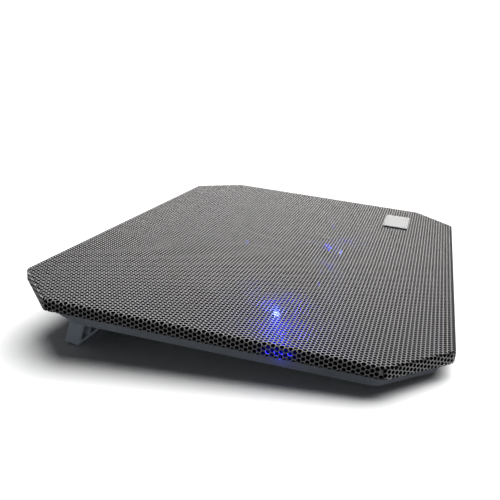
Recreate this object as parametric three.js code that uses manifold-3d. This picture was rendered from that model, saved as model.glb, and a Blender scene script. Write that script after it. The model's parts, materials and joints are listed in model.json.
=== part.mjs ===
// Laptop cooling pad: a steel mesh cover crimped over a shallow plastic tray, two lit fans inside,
// two folding rear feet, and a socket panel at the back. Millimetres, +Z up.
//
// The pad is drawn flat in its own frame and then tilted onto its feet: x runs to the user's right,
// y to the back, and z = 0 is the top of the mesh. The exported group stands on z = 0, with the
// centre of its bounding box on the z axis.
import * as THREE from "three";
import { mergeVertices } from "three/addons/utils/BufferGeometryUtils.js";
import Module from "manifold-3d";

const wasm = await Module();
wasm.setup();

// ---------------------------------------------------------------- driving dimensions
const LENGTH = 380; // along x
const WIDTH = 280; // along y
const CORNER_CUT = 38; // leg of each 45 degree corner
const CORNER_ROUND = 6; // radius on the eight corners of the outline
const TILT = THREE.MathUtils.degToRad(6.3); // with the feet out
const GAP = 0.3; // between pieces that touch

const SHEET = 0.5; // mesh cover
const FOLD = 1.5; // outside radius of the cover's fold
const SKIRT = 8; // height of the cover's side
const HEM = 4.2; // how far the crimped hem reaches in

const DEPTH = 16.7; // top of the mesh to the underside of the tray
const WALL = 2; // tray wall and floor
const FLOOR = WALL - DEPTH; // inner face of the tray's floor
const WALL_HEAD = HEM + 0.4; // inset of the tray's side wall, just under the hem
const WALL_FOOT = 8; // and at the floor
const REAR_CUT = 9; // the rear corners are cut off this much more at the floor

const FAN_X = 70; // fan centres, from the middle
const FAN_Y = 8;
const RING_R = 59; // fan frame, outside
const RING_BORE = 54;
const BLADE_TIP = 52.4;
const HUB_R = 20;
const BLADES = 9;
const EAR_R = 63; // fan screws' circle
const LED_ANGLE = THREE.MathUtils.degToRad(32.4);
const LED_Z = -12.4;
const FRAME_FOOT = FLOOR + GAP; // underside of the fan frame
const FRAME_TOP = -2.5;
const EAR_TOP = -8;
const EAR_T = 2.4;
const EAR_RADIUS = 4.4;

const FOOT_X = 139; // middle of a foot
const FOOT_W = 46;
const FOOT_T = 9.6;
const FOOT_L = 30.7; // hinge to the end of the leg
const FOOT_END_SLOPE = -0.06; // of the leg's end, across its thickness
const FOOT_LEAN = THREE.MathUtils.degToRad(14.2); // past square to the pad, towards the back
const HINGE_Y = 93.7;
const HINGE_Z = -12.2;
const PIN_R = 1.5;
const POCKET_W = 51;
const POCKET_FRONT = 59.3;
const POCKET_BACK = 100.1; // the deployed leg rests on this wall
const POCKET_TOP = HINGE_Z + FOOT_T / 2 + GAP;
const POCKET_SIDE = 3;

const PAD_R = 7; // rubber pads under the tray
const PAD_T = 2.3;
const FRONT_PAD = [138, -118];
const REAR_PAD = [140, 113];

const PANEL_X = [22, 98]; // socket panel at the back
const PANEL_Y = 137.4;
const SOCKET_X = [36, 58];
const SOCKET = { w: 13.1, h: 5.7, d: 14, wall: 0.4, z: -9.1 };
const SWITCH_X = 82;
const SWITCH_Z = -12;
const SWITCH_TRAVEL = 3;
const BOARD = { x: [24, 96], y: [112, 130.5], top: -7.6, t: 1.2 };

const BADGE = { x: 129.5, y: -84, w: 24, l: 47, t: 0.8 };

// ---------------------------------------------------------------- materials
const finish = (color, roughness, metalness) =>
  new THREE.MeshStandardMaterial({ color, roughness, metalness });
const MATERIALS = {
  mesh_paint: finish("#17181b", 0.35, 0.4),
  tray_plastic: finish("#3a3e43", 0.55, 0),
  fan_plastic: finish("#141518", 0.45, 0),
  blade_plastic: finish("#20242c", 0.3, 0),
  foot_plastic: finish("#43484e", 0.6, 0),
  rubber: finish("#161616", 0.9, 0),
  steel: finish("#b6b8bb", 0.3, 1),
  brass: finish("#b8923f", 0.35, 1),
  copper: finish("#a9602c", 0.4, 1),
  board: finish("#1f5a3a", 0.5, 0),
  led: finish("#2a4bff", 0.2, 0),
  lead: finish("#202020", 0.6, 0),
  badge: finish("#e6e6e4", 0.35, 0.2),
};

// ---------------------------------------------------------------- solids
function solid(geometry) {
  const bare = geometry.clone();
  bare.deleteAttribute("normal");
  bare.deleteAttribute("uv");
  const merged = mergeVertices(bare, 1e-4);
  return new wasm.Manifold(
    new wasm.Mesh({
      numProp: 3,
      vertProperties: merged.attributes.position.array,
      triVerts: new Uint32Array(merged.index.array),
    }),
  );
}

function shapeOf(made) {
  const mesh = made.getMesh();
  return new THREE.BufferGeometry()
    .setAttribute("position", new THREE.BufferAttribute(mesh.vertProperties, 3))
    .setIndex(new THREE.BufferAttribute(mesh.triVerts, 1));
}

const join = (first, ...others) =>
  shapeOf(others.reduce((sum, other) => sum.add(solid(other)), solid(first)));
const cut = (first, ...others) =>
  shapeOf(others.reduce((rest, other) => rest.subtract(solid(other)), solid(first)));

// A box given by its lowest and highest corners.
const block = (x0, y0, z0, x1, y1, z1) =>
  new THREE.BoxGeometry(x1 - x0, y1 - y0, z1 - z0).translate((x0 + x1) / 2, (y0 + y1) / 2, (z0 + z1) / 2);

// A round bar along z.
const bar = (radius, z0, z1, sides = 16, x = 0, y = 0) =>
  new THREE.CylinderGeometry(radius, radius, z1 - z0, sides)
    .rotateX(Math.PI / 2)
    .translate(x, y, (z0 + z1) / 2);

// A round bar along x.
const crossBar = (radius, x0, x1, y, z, sides = 16) =>
  new THREE.CylinderGeometry(radius, radius, x1 - x0, sides)
    .rotateZ(Math.PI / 2)
    .translate((x0 + x1) / 2, y, z);

// A turned piece about z, from its [radius, z] profile, anticlockwise and closed by the first point.
function turned(profile, sides) {
  const points = [...profile, profile[0]].map(([r, z]) => new THREE.Vector2(r, z));
  return new THREE.LatheGeometry(points, sides).rotateX(Math.PI / 2);
}

// The pad's outline: a rectangle with its corners cut off at 45 degrees and rounded, drawn smaller by inset.
// extraCut takes more off the two rear corners.
function outline(inset, extraCut = 0) {
  const halfX = LENGTH / 2 - inset;
  const halfY = WIDTH / 2 - inset;
  const leg = CORNER_CUT - inset * (2 - Math.SQRT2);
  const rear = leg + extraCut;
  const corners = [
    [halfX, -halfY + leg], [halfX, halfY - rear], [halfX - rear, halfY], [-halfX + rear, halfY],
    [-halfX, halfY - rear], [-halfX, -halfY + leg], [-halfX + leg, -halfY], [halfX - leg, -halfY],
  ].map(([x, y]) => new THREE.Vector2(x, y));
  const radius = CORNER_ROUND + Math.max(0, inset - HEM);
  const steps = 4;
  const points = [];
  corners.forEach((corner, i) => {
    const before = corners[(i + 7) % 8].clone().sub(corner).normalize();
    const after = corners[(i + 1) % 8].clone().sub(corner).normalize();
    const half = Math.PI / 8;
    const back = radius * Math.tan(half);
    const centre = before.clone().add(after).normalize().multiplyScalar(radius / Math.cos(half)).add(corner);
    const start = before.clone().multiplyScalar(back).add(corner).sub(centre);
    for (let k = 0; k <= steps; k++) {
      points.push(start.clone().rotateAround(new THREE.Vector2(), (k / steps) * 2 * half).add(centre));
    }
  });
  return points;
}

// A closed body through outlines stacked in z, each given as [inset, z] or [inset, z, extraCut],
// lowest first.
function stack(levels) {
  const rings = levels.map(([inset, z, extraCut]) => outline(inset, extraCut).map((p) => [p.x, p.y, z]));
  const count = rings[0].length;
  const positions = rings.flat(2);
  const index = [];
  for (let level = 0; level < rings.length - 1; level++) {
    for (let i = 0; i < count; i++) {
      const next = (i + 1) % count;
      const [a, b] = [level * count + i, level * count + next];
      index.push(a, b, b + count, a, b + count, a + count);
    }
  }
  const top = (rings.length - 1) * count;
  for (let i = 1; i < count - 1; i++) {
    index.push(0, i + 1, i, top, top + i, top + i + 1);
  }
  return new THREE.BufferGeometry()
    .setAttribute("position", new THREE.Float32BufferAttribute(positions, 3))
    .setIndex(index);
}

const root = new THREE.Group();
const pad = new THREE.Group();
pad.rotation.x = TILT;
root.add(pad);

function place(parent, name, geometry, material) {
  const mesh = new THREE.Mesh(geometry, MATERIALS[material]);
  mesh.name = name;
  parent.add(mesh);
  return mesh;
}

// ---------------------------------------------------------------- cover
// The perforated sheet, drawn unperforated: top, folded sides, and the hem crimped under the tray's flange.
function meshCover() {
  const bend = FOLD * (1 - Math.SQRT1_2);
  const outer = stack([
    [0.5, -SKIRT], [0, -SKIRT + 0.5], [0, -FOLD], [bend, -bend], [FOLD, 0],
  ]);
  const inside = stack([[SHEET, -SKIRT + SHEET], [SHEET, -FOLD], [SHEET + bend, -SHEET - bend], [FOLD + SHEET, -SHEET]]);
  const mouth = stack([[HEM, -SKIRT - 1], [HEM, -SKIRT + SHEET + 1]]);
  return cut(outer, inside, mouth);
}

// ---------------------------------------------------------------- tray
// One bar of the round air grille: an arc-shaped slot in the tray's floor.
function grilleSlot(inner, outer, from, to) {
  const slot = new THREE.Shape();
  slot.absarc(0, 0, outer, from, to, false);
  slot.absarc(0, 0, inner, to, from, true);
  return new THREE.ExtrudeGeometry(slot, { depth: WALL + 2, bevelEnabled: false, curveSegments: 4 })
    .translate(0, 0, -DEPTH - 1);
}

function grille(centreX) {
  const bands = [[12, 24.5], [27.5, 38], [41, 51]];
  const sectors = 8;
  const rib = 3;
  const slots = [];
  for (const [inner, outer] of bands) {
    const clear = rib / 2 / inner;
    for (let i = 0; i < sectors; i++) {
      const from = (i / sectors) * 2 * Math.PI;
      slots.push(
        grilleSlot(inner, outer, from + clear, from + (2 * Math.PI) / sectors - clear)
          .translate(centreX, FAN_Y, 0),
      );
    }
  }
  return slots;
}

const EAR_ANGLES = [1, 3, 5, 7].map((n) => (n * Math.PI) / 4);
const earSpots = (centreX) =>
  EAR_ANGLES.map((a) => [centreX + EAR_R * Math.cos(a), FAN_Y + EAR_R * Math.sin(a)]);
const BOARD_SCREWS = [[BOARD.x[0] + 4, BOARD.y[0] + 4], [BOARD.x[1] - 4, BOARD.y[0] + 4]];

function tray() {
  const flangeFoot = -SKIRT + SHEET + GAP;
  const flange = SHEET + GAP;
  const edge = 1; // chamfer round the floor
  const shell = stack([
    [WALL_FOOT + edge, -DEPTH, REAR_CUT], [WALL_FOOT, -DEPTH + edge, REAR_CUT], [WALL_HEAD, -SKIRT - GAP],
    [WALL_HEAD, flangeFoot], [flange, flangeFoot + 0.02], [flange, -FOLD - GAP], [flange + 0.6, -SHEET - GAP],
  ]);
  const hollow = stack([
    [WALL_FOOT + WALL + 0.4, FLOOR, REAR_CUT], [WALL_HEAD + WALL, -SKIRT], [WALL_HEAD + WALL, flangeFoot + 1],
    [flange + WALL, flangeFoot + 2.5], [flange + WALL, 0],
  ]);
  let body = cut(shell, hollow);

  const bosses = [-FAN_X, FAN_X].flatMap((x) =>
    earSpots(x).map(([ex, ey]) => bar(EAR_RADIUS - 0.8, FLOOR - 0.5, EAR_TOP - EAR_T - GAP, 16, ex, ey)),
  );
  const posts = BOARD_SCREWS.map(([x, y]) => bar(3.2, FLOOR - 0.5, BOARD.top - BOARD.t - GAP, 12, x, y));
  const housings = [-FOOT_X, FOOT_X].map((x) =>
    block(
      x - POCKET_W / 2 - POCKET_SIDE, POCKET_FRONT - WALL, -DEPTH,
      x + POCKET_W / 2 + POCKET_SIDE, POCKET_BACK + WALL, POCKET_TOP + 1.5,
    ),
  );
  const panel = block(PANEL_X[0], 124, -DEPTH, PANEL_X[1], PANEL_Y, -SKIRT - GAP);
  body = join(body, ...bosses, ...posts, ...housings, panel);

  const bay = block(PANEL_X[0] + WALL, 110, FLOOR - 0.4, PANEL_X[1] - WALL, PANEL_Y - WALL, -SKIRT - GAP - 0.5);
  const bayTop = block(PANEL_X[0] + WALL, 110, -SKIRT - GAP - 1, PANEL_X[1] - WALL, 132.5, -SKIRT + 1);
  const pockets = [-FOOT_X, FOOT_X].map((x) =>
    block(x - POCKET_W / 2, POCKET_FRONT, -DEPTH - 1, x + POCKET_W / 2, POCKET_BACK, POCKET_TOP),
  );
  const pinHoles = [-FOOT_X, FOOT_X].map((x) =>
    crossBar(PIN_R + GAP, x - POCKET_W / 2 - POCKET_SIDE - 1, x + POCKET_W / 2 + POCKET_SIDE + 1, HINGE_Y, HINGE_Z, 12),
  );
  const screwHoles = [-FAN_X, FAN_X].flatMap((x) =>
    earSpots(x).map(([ex, ey]) => bar(1.7, -DEPTH + 1, 0, 10, ex, ey)),
  );
  const postHoles = BOARD_SCREWS.map(([x, y]) => bar(1.5, -DEPTH + 1, 0, 10, x, y));
  const socketHoles = SOCKET_X.map((x) =>
    block(
      x - SOCKET.w / 2 - GAP, PANEL_Y - WALL - 1, SOCKET.z - SOCKET.h - 0.2,
      x + SOCKET.w / 2 + GAP, PANEL_Y + 1, SOCKET.z + 0.2,
    ),
  );
  const switchSlot = block(
    SWITCH_X - 5.5, PANEL_Y - WALL - 1, SWITCH_Z - 2, SWITCH_X + 5.5, PANEL_Y + 1, SWITCH_Z + 2,
  );
  return cut(
    body, ...grille(-FAN_X), ...grille(FAN_X), bay, bayTop, ...pockets, ...pinHoles,
    ...screwHoles, ...postHoles, ...socketHoles, switchSlot,
  );
}

// ---------------------------------------------------------------- fans
const TUBE_R = 5; // bearing tube on the motor plate
const TUBE_BORE = 3.6;
const PLATE_T = 2;
const HUB_TOP = -3.6;
const HUB_T = 1.4;
const LED_ANGLES = [0, 1, 2, 3].map((n) => LED_ANGLE + (n * Math.PI) / 2);

function fanFrame(angles) {
  const ring = turned(
    [[RING_BORE, FRAME_FOOT], [RING_R, FRAME_FOOT], [RING_R, FRAME_TOP], [RING_BORE + 1.5, FRAME_TOP],
      [RING_BORE, FRAME_TOP - 1.5]],
    64,
  );
  const plate = bar(HUB_R - 1, FRAME_FOOT, FRAME_FOOT + PLATE_T, 32);
  const tube = bar(TUBE_R, FRAME_FOOT, -6.4, 16);
  const struts = [0, 1, 2, 3].map((n) =>
    block(HUB_R - 4, -2, FRAME_FOOT, RING_BORE + 1, 2, FRAME_FOOT + PLATE_T)
      .rotateZ((n * Math.PI) / 2),
  );
  const ears = EAR_ANGLES.map((a) =>
    join(
      bar(EAR_RADIUS, EAR_TOP - EAR_T, EAR_TOP, 16, EAR_R, 0),
      block(RING_BORE + 2, -EAR_RADIUS, EAR_TOP - EAR_T, EAR_R, EAR_RADIUS, EAR_TOP),
    ).rotateZ(a),
  );
  const holes = EAR_ANGLES.map((a) => bar(1.8, EAR_TOP - EAR_T - 1, EAR_TOP + 1, 10, EAR_R, 0).rotateZ(a));
  const ledHoles = angles.map((a) =>
    crossBar(1.8, RING_BORE - 1, RING_R + 1, 0, LED_Z, 8).rotateZ(a),
  );
  return cut(join(ring, plate, tube, ...struts, ...ears), ...holes, ...ledHoles, bar(TUBE_BORE, -12.6, 0, 16));
}

// One blade: a thin swept sheet that falls from its leading edge to its trailing edge.
function blade() {
  const [rings, chords] = [5, 4];
  const thickness = 1;
  const [high, low] = [-4.4, -11.4];
  const positions = [];
  for (const side of [0.5, -0.5]) {
    for (let i = 0; i <= rings; i++) {
      const out = i / rings;
      const radius = THREE.MathUtils.lerp(HUB_R - 0.6, BLADE_TIP, out);
      for (let j = 0; j <= chords; j++) {
        const along = j / chords;
        const angle = along * (0.62 + 0.06 * out) + 0.42 * out ** 1.4;
        const z = THREE.MathUtils.lerp(high, low, along ** 0.85);
        positions.push(radius * Math.cos(angle), radius * Math.sin(angle), z + side * thickness);
      }
    }
  }
  const row = chords + 1;
  const sheet = (rings + 1) * row;
  const at = (side, i, j) => side * sheet + i * row + j;
  const index = [];
  const quad = (a, b, c, d) => index.push(a, b, c, a, c, d);
  for (let i = 0; i < rings; i++) {
    for (let j = 0; j < chords; j++) {
      quad(at(0, i, j), at(0, i + 1, j), at(0, i + 1, j + 1), at(0, i, j + 1));
      quad(at(1, i, j), at(1, i, j + 1), at(1, i + 1, j + 1), at(1, i + 1, j));
    }
    quad(at(0, i + 1, 0), at(0, i, 0), at(1, i, 0), at(1, i + 1, 0));
    quad(at(0, i, chords), at(0, i + 1, chords), at(1, i + 1, chords), at(1, i, chords));
  }
  for (let j = 0; j < chords; j++) {
    quad(at(0, 0, j), at(0, 0, j + 1), at(1, 0, j + 1), at(1, 0, j));
    quad(at(0, rings, j + 1), at(0, rings, j), at(1, rings, j), at(1, rings, j + 1));
  }
  return new THREE.BufferGeometry()
    .setAttribute("position", new THREE.Float32BufferAttribute(positions, 3))
    .setIndex(index);
}

function fanRotor() {
  const inner = HUB_R - 1.6;
  const cup = turned(
    [[0, HUB_TOP - HUB_T], [inner, HUB_TOP - HUB_T], [inner, -12], [HUB_R, -12], [HUB_R, HUB_TOP - 0.8],
      [HUB_R - 0.8, HUB_TOP], [0, HUB_TOP]],
    36,
  );
  const blades = Array.from({ length: BLADES }, (_, n) => blade().rotateZ((n / BLADES) * 2 * Math.PI));
  return cut(join(cup, ...blades), bar(PIN_R + GAP, HUB_TOP - HUB_T - 1, HUB_TOP - 0.5, 12));
}

function fanStator() {
  const core = bar(7.5, -10.9, -6.9, 16);
  const poles = [0, 1, 2, 3].map((n) =>
    join(block(5, -1.6, -10.9, 15, 1.6, -6.9), block(13.6, -7, -10.9, 15.4, 7, -6.9))
      .rotateZ((n * Math.PI) / 2 + Math.PI / 4),
  );
  const coils = [0, 1, 2, 3].map((n) =>
    block(8, -3.6, -11.2, 12.8, 3.6, -6.6).rotateZ((n * Math.PI) / 2 + Math.PI / 4),
  );
  return cut(join(core, ...poles, ...coils), bar(TUBE_R + GAP, -12, -6, 16));
}

const fanBoard = () =>
  turned([[TUBE_R + GAP, -12.1], [15, -12.1], [15, -11.5], [TUBE_R + GAP, -11.5]], 24);
const fanShaft = () => bar(PIN_R, -12, HUB_TOP - 0.8, 12);
const fanBearing = () =>
  turned([[PIN_R + GAP, -12.3], [TUBE_BORE - GAP, -12.3], [TUBE_BORE - GAP, -6.6], [PIN_R + GAP, -6.6]], 16);

// A round LED lying along x, its dome towards the fan's axis and its flange behind the ring.
function led() {
  const tip = RING_BORE - 0.6;
  const flange = RING_R + GAP;
  return turned(
    [[0, tip], [0.9, tip + 0.25], [1.35, tip + 0.8], [1.5, tip + 1.5], [1.5, flange], [2.1, flange],
      [2.1, flange + 1], [0, flange + 1]],
    8,
  ).rotateY(Math.PI / 2).translate(0, 0, LED_Z);
}

// A pan-head screw whose head sits on z.
function screw(headR, shankR, z, length) {
  return turned(
    [[0, z - length], [shankR * 0.4, z - length], [shankR, z - length + 1], [shankR, z], [headR, z],
      [headR, z + 0.8], [headR * 0.7, z + 1.6], [0, z + 1.8]],
    10,
  );
}

function buildFan(side, centreX, angles) {
  const fan = new THREE.Group();
  fan.position.set(centreX, FAN_Y, 0);
  pad.add(fan);
  place(fan, `fan_frame_${side}`, fanFrame(angles), "fan_plastic");
  place(fan, `fan_rotor_${side}`, fanRotor(), "blade_plastic");
  place(fan, `fan_shaft_${side}`, fanShaft(), "steel");
  place(fan, `fan_bearing_${side}`, fanBearing(), "brass");
  place(fan, `fan_stator_${side}`, fanStator(), "copper");
  place(fan, `fan_board_${side}`, fanBoard(), "board");
  angles.forEach((angle, n) => {
    place(fan, `fan_led_${side}_${n + 1}`, led(), "led").rotation.z = angle;
  });
  EAR_ANGLES.forEach((angle, n) => {
    const made = place(fan, `fan_screw_${side}_${n + 1}`, screw(3, 1.3, EAR_TOP + GAP, 7), "steel");
    made.position.set(EAR_R * Math.cos(angle), EAR_R * Math.sin(angle), 0);
  });
}

// ---------------------------------------------------------------- folding feet
// Drawn about the hinge, straight down; the group leans it back.
function footLeg() {
  const half = FOOT_T / 2;
  const side = new THREE.Shape();
  side.moveTo(half, 0);
  side.absarc(0, 0, half, 0, Math.PI, false);
  side.lineTo(-half, -FOOT_L - half * FOOT_END_SLOPE);
  side.lineTo(half, -FOOT_L + half * FOOT_END_SLOPE);
  side.closePath();
  const leg = new THREE.ExtrudeGeometry(side, { depth: FOOT_W, bevelEnabled: false, curveSegments: 10 })
    .rotateX(Math.PI / 2)
    .rotateZ(Math.PI / 2)
    .translate(-FOOT_W / 2, 0, 0);
  return cut(leg, crossBar(PIN_R + GAP, -FOOT_W, FOOT_W, 0, 0, 12));
}

const frontSlope = Math.tan(TILT);
const FLOOR_AT = (y) => -DEPTH - GAP - PAD_T - frontSlope * (y - (FRONT_PAD[1] - PAD_R));

// The rubber sole under the leg, its lower face flat on the desk. Drawn in the pad's frame.
function footSole() {
  const down = new THREE.Vector2(Math.sin(FOOT_LEAN), -Math.cos(FOOT_LEAN));
  const across = new THREE.Vector2(Math.cos(FOOT_LEAN), Math.sin(FOOT_LEAN));
  const half = FOOT_T / 2 - 1.6;
  const width = FOOT_W - 6;
  const end = (offset) =>
    new THREE.Vector2(HINGE_Y, HINGE_Z)
      .addScaledVector(across, offset)
      .addScaledVector(down, FOOT_L - offset * FOOT_END_SLOPE + GAP);
  const [front, back] = [end(-half), end(half)];
  const side = new THREE.Shape([
    front, new THREE.Vector2(front.x + 0.2, FLOOR_AT(front.x + 0.2)),
    new THREE.Vector2(back.x + 0.3, FLOOR_AT(back.x + 0.3)), back,
  ]);
  return new THREE.ExtrudeGeometry(side, { depth: width, bevelEnabled: false })
    .rotateX(Math.PI / 2)
    .rotateZ(Math.PI / 2)
    .translate(-width / 2, 0, 0);
}

function buildFoot(side, centreX) {
  const hinge = new THREE.Group();
  hinge.position.set(centreX, HINGE_Y, HINGE_Z);
  hinge.rotation.x = FOOT_LEAN;
  pad.add(hinge);
  place(hinge, `foot_${side}`, footLeg(), "foot_plastic");
  place(pad, `foot_sole_${side}`, footSole(), "rubber").position.x = centreX;
  const reach = POCKET_W / 2 + POCKET_SIDE - 0.5;
  place(pad, `foot_pin_${side}`, crossBar(PIN_R, -reach, reach, HINGE_Y, HINGE_Z, 12), "steel")
    .position.x = centreX;
}

// ---------------------------------------------------------------- sockets, switch and wiring
// A type A socket: a folded steel sleeve, closed at the back.
function socketShell() {
  const { w, h, d, wall, z } = SOCKET;
  const mouth = PANEL_Y - 0.3;
  return cut(
    block(-w / 2, mouth - d, z - h, w / 2, mouth, z),
    block(-w / 2 + wall, mouth - d + 1, z - h + wall, w / 2 - wall, mouth + 1, z - wall),
  );
}

function socketTongue() {
  const { d, z, h } = SOCKET;
  const mouth = PANEL_Y - 0.3;
  const floor = mouth - d + 1 + GAP;
  const middle = z - h / 2;
  return join(
    block(-5.5, floor, middle + 0.1, 5.5, mouth - 1.4, middle + 1.9),
    block(-5.8, floor, middle - 2, 5.8, floor + 2.5, middle + 2),
  );
}

function hubBoard() {
  const under = BOARD.top - BOARD.t;
  const plate = block(BOARD.x[0] + 0.4, BOARD.y[0], under, BOARD.x[1] - 0.4, BOARD.y[1], BOARD.top);
  const holes = BOARD_SCREWS.map(([x, y]) => bar(1.6, under - 1, BOARD.top + 1, 10, x, y));
  return cut(plate, ...holes);
}

function switchBody() {
  const back = PANEL_Y - WALL - GAP;
  return cut(
    block(-6.5, back - 5, SWITCH_Z - 2.6, 6.5, back, SWITCH_Z + 2.6),
    block(-5, back - 3, SWITCH_Z - 1.5, 5, back + 1, SWITCH_Z + 1.5),
  );
}

// The sliding button, at the end of its travel.
function switchSlider() {
  const back = PANEL_Y - WALL - GAP;
  const knob = block(-2, back - 1, SWITCH_Z - 1.2, 2, PANEL_Y + 1.4, SWITCH_Z + 1.2);
  const base = block(-3, back - 2.6, SWITCH_Z - 1.2, 3, back - 0.8, SWITCH_Z + 1.2);
  return join(knob, base).translate(-SWITCH_TRAVEL / 2, 0, 0);
}

const PLUG_X = { left: 38, right: 82 };

const fanPlug = () => block(-4, -3, BOARD.top + GAP, 4, 3, BOARD.top + GAP + 4);

function fanLead(points) {
  const path = new THREE.CatmullRomCurve3(points.map((p) => new THREE.Vector3(...p)));
  const section = new THREE.Shape();
  section.absarc(0, 0, 1, 0, 2 * Math.PI, false);
  return new THREE.ExtrudeGeometry(section, { extrudePath: path, steps: 36, curveSegments: 2, bevelEnabled: false });
}

// Routes along the tray's floor, chosen by hand: out of the fan ring, then up to the plug on the board.
const LEAD_ROUTES = {
  left: [
    [-62, 69, -13], [-56, 74, -13.2], [-40, 84, -13.3], [-20, 94, -13.3], [0, 101, -13.3], [16, 104, -13],
    [27, 105, -10], [33, 106, -7], [38, 109, -5.4], [38, 114.4, -5.3],
  ],
  right: [
    [66, 69, -13], [68, 74, -13.2], [72, 84, -13.3], [76, 92, -13.3], [79, 99, -13], [81, 103, -10.4],
    [82, 106, -7.4], [82, 110, -5.6], [82, 114.4, -5.3],
  ],
};

function buildElectrics() {
  place(pad, "hub_board", hubBoard(), "board");
  SOCKET_X.forEach((x, n) => {
    place(pad, `usb_socket_${n + 1}`, socketShell(), "steel").position.x = x;
    place(pad, `usb_tongue_${n + 1}`, socketTongue(), "rubber").position.x = x;
  });
  place(pad, "switch_body", switchBody(), "fan_plastic").position.x = SWITCH_X;
  place(pad, "switch_slider", switchSlider(), "badge").position.x = SWITCH_X;
  BOARD_SCREWS.forEach(([x, y], n) => {
    place(pad, `board_screw_${n + 1}`, screw(2.4, 1.1, BOARD.top + GAP, 5.5), "steel").position.set(x, y, 0);
  });
  for (const side of ["left", "right"]) {
    place(pad, `fan_plug_${side}`, fanPlug(), "badge").position.set(PLUG_X[side], 118, 0);
    place(pad, `fan_lead_${side}`, fanLead(LEAD_ROUTES[side]), "lead");
  }
}

// ---------------------------------------------------------------- assembly
const mirrored = (angles) => angles.map((a) => Math.PI - a);

place(pad, "mesh_cover", meshCover(), "mesh_paint");
place(pad, "base_tray", tray(), "tray_plastic");
place(
  pad, "badge",
  block(
    BADGE.x - BADGE.l / 2, BADGE.y - BADGE.w / 2, GAP, BADGE.x + BADGE.l / 2, BADGE.y + BADGE.w / 2, GAP + BADGE.t,
  ),
  "badge",
);
buildFan("left", -FAN_X, LED_ANGLES);
buildFan("right", FAN_X, mirrored(LED_ANGLES));
buildFoot("left", -FOOT_X);
buildFoot("right", FOOT_X);
buildElectrics();
[["front", FRONT_PAD], ["rear", REAR_PAD]].forEach(([end, [x, y]]) => {
  for (const [side, sign] of [["left", -1], ["right", 1]]) {
    const disc = bar(PAD_R, -DEPTH - GAP - PAD_T, -DEPTH - GAP, 24, sign * x, y);
    place(pad, `rubber_pad_${end}_${side}`, disc, "rubber");
  }
});

root.updateMatrixWorld(true);
const box = new THREE.Box3().setFromObject(root, true);
const middle = box.getCenter(new THREE.Vector3());
pad.position.set(-middle.x, -middle.y, -box.min.z);

export default root;
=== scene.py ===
"""Laptop cooling pad: the looks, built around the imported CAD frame.

Every piece is drawn in the pad's own frame, in millimetres: x to the user's right, y to the back,
z = 0 at the top of the steel cover. PAD takes that frame to the row frame, in metres, with the pad
tilted onto its feet.
"""
import json
import math

import bmesh
import bpy
import numpy as np
from mathutils import Matrix, Vector

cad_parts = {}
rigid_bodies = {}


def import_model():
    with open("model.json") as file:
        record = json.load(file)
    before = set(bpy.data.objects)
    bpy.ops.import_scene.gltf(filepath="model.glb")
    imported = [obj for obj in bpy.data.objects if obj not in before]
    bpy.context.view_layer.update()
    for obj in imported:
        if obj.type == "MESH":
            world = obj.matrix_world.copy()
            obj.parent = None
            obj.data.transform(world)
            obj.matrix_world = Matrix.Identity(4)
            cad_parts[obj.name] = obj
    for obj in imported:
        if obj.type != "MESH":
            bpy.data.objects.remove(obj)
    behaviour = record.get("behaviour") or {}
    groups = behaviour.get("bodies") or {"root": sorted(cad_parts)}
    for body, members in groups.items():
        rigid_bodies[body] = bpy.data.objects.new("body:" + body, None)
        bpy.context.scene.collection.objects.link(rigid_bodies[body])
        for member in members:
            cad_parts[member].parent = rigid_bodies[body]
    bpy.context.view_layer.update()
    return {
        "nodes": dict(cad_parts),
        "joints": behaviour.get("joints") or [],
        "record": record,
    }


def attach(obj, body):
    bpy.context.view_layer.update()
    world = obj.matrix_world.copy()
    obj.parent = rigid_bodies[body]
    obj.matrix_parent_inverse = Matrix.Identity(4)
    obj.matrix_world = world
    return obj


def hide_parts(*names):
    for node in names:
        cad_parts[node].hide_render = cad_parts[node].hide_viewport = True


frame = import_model()
NODES = frame["nodes"]
JOINTS = {joint["name"]: joint for joint in frame["joints"]}
SIDES = ("left", "right")

# ---------------------------------------------------------------- the pad's frame
pad_up = Vector(JOINTS["fan_spin_left"]["axis"])
TILT = math.atan2(-pad_up.y, pad_up.z)
UNTILT = Matrix.Rotation(-TILT, 4, "X")


def untilted_box(name, to_pad=UNTILT):
    """Lowest and highest corners of a CAD node once the pad lies flat."""
    points = np.array([to_pad @ v.co for v in NODES[name].data.vertices])
    return Vector(points.min(0)), Vector(points.max(0))


cover_low, cover_high = untilted_box("mesh_cover")
cover_middle = (cover_low + cover_high) / 2
ORIGIN = Vector((cover_middle.x, cover_middle.y, cover_high.z))
PAD = Matrix.Rotation(TILT, 4, "X") @ Matrix.Translation(ORIGIN) @ Matrix.Scale(0.001, 4)
TO_PAD = PAD.inverted()


def pad_box(name):
    return untilted_box(name, TO_PAD)


def pad_middle(name):
    return sum(pad_box(name), Vector()) / 2


def pad_point(joint):
    """Where a joint's axis passes, in the pad's frame."""
    return TO_PAD @ Vector(JOINTS[joint]["pos_m"])


# ---------------------------------------------------------------- driving dimensions
low, high = pad_box("mesh_cover")
HALF_X, HALF_Y = high.x, high.y
SKIRT = -low.z
CORNER_CUT = 38  # what is cut off each corner, along both edges
CORNER_ROUND = 6
SHEET = 0.5  # thickness of the steel
FOLD = 1.5  # outer radius between the top and the side
HEM = 4.2  # how far the side turns in underneath
HEM_ROUND = 1.1

PITCH_X = 2.93  # hole spacing along a row
PITCH_Y = 2.54  # spacing of the rows
HOLE_R = 1.26
ROWS = 110
HOLE_SIDES = 12
STRIPS = 6  # the cover is made in this many strips along y

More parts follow.
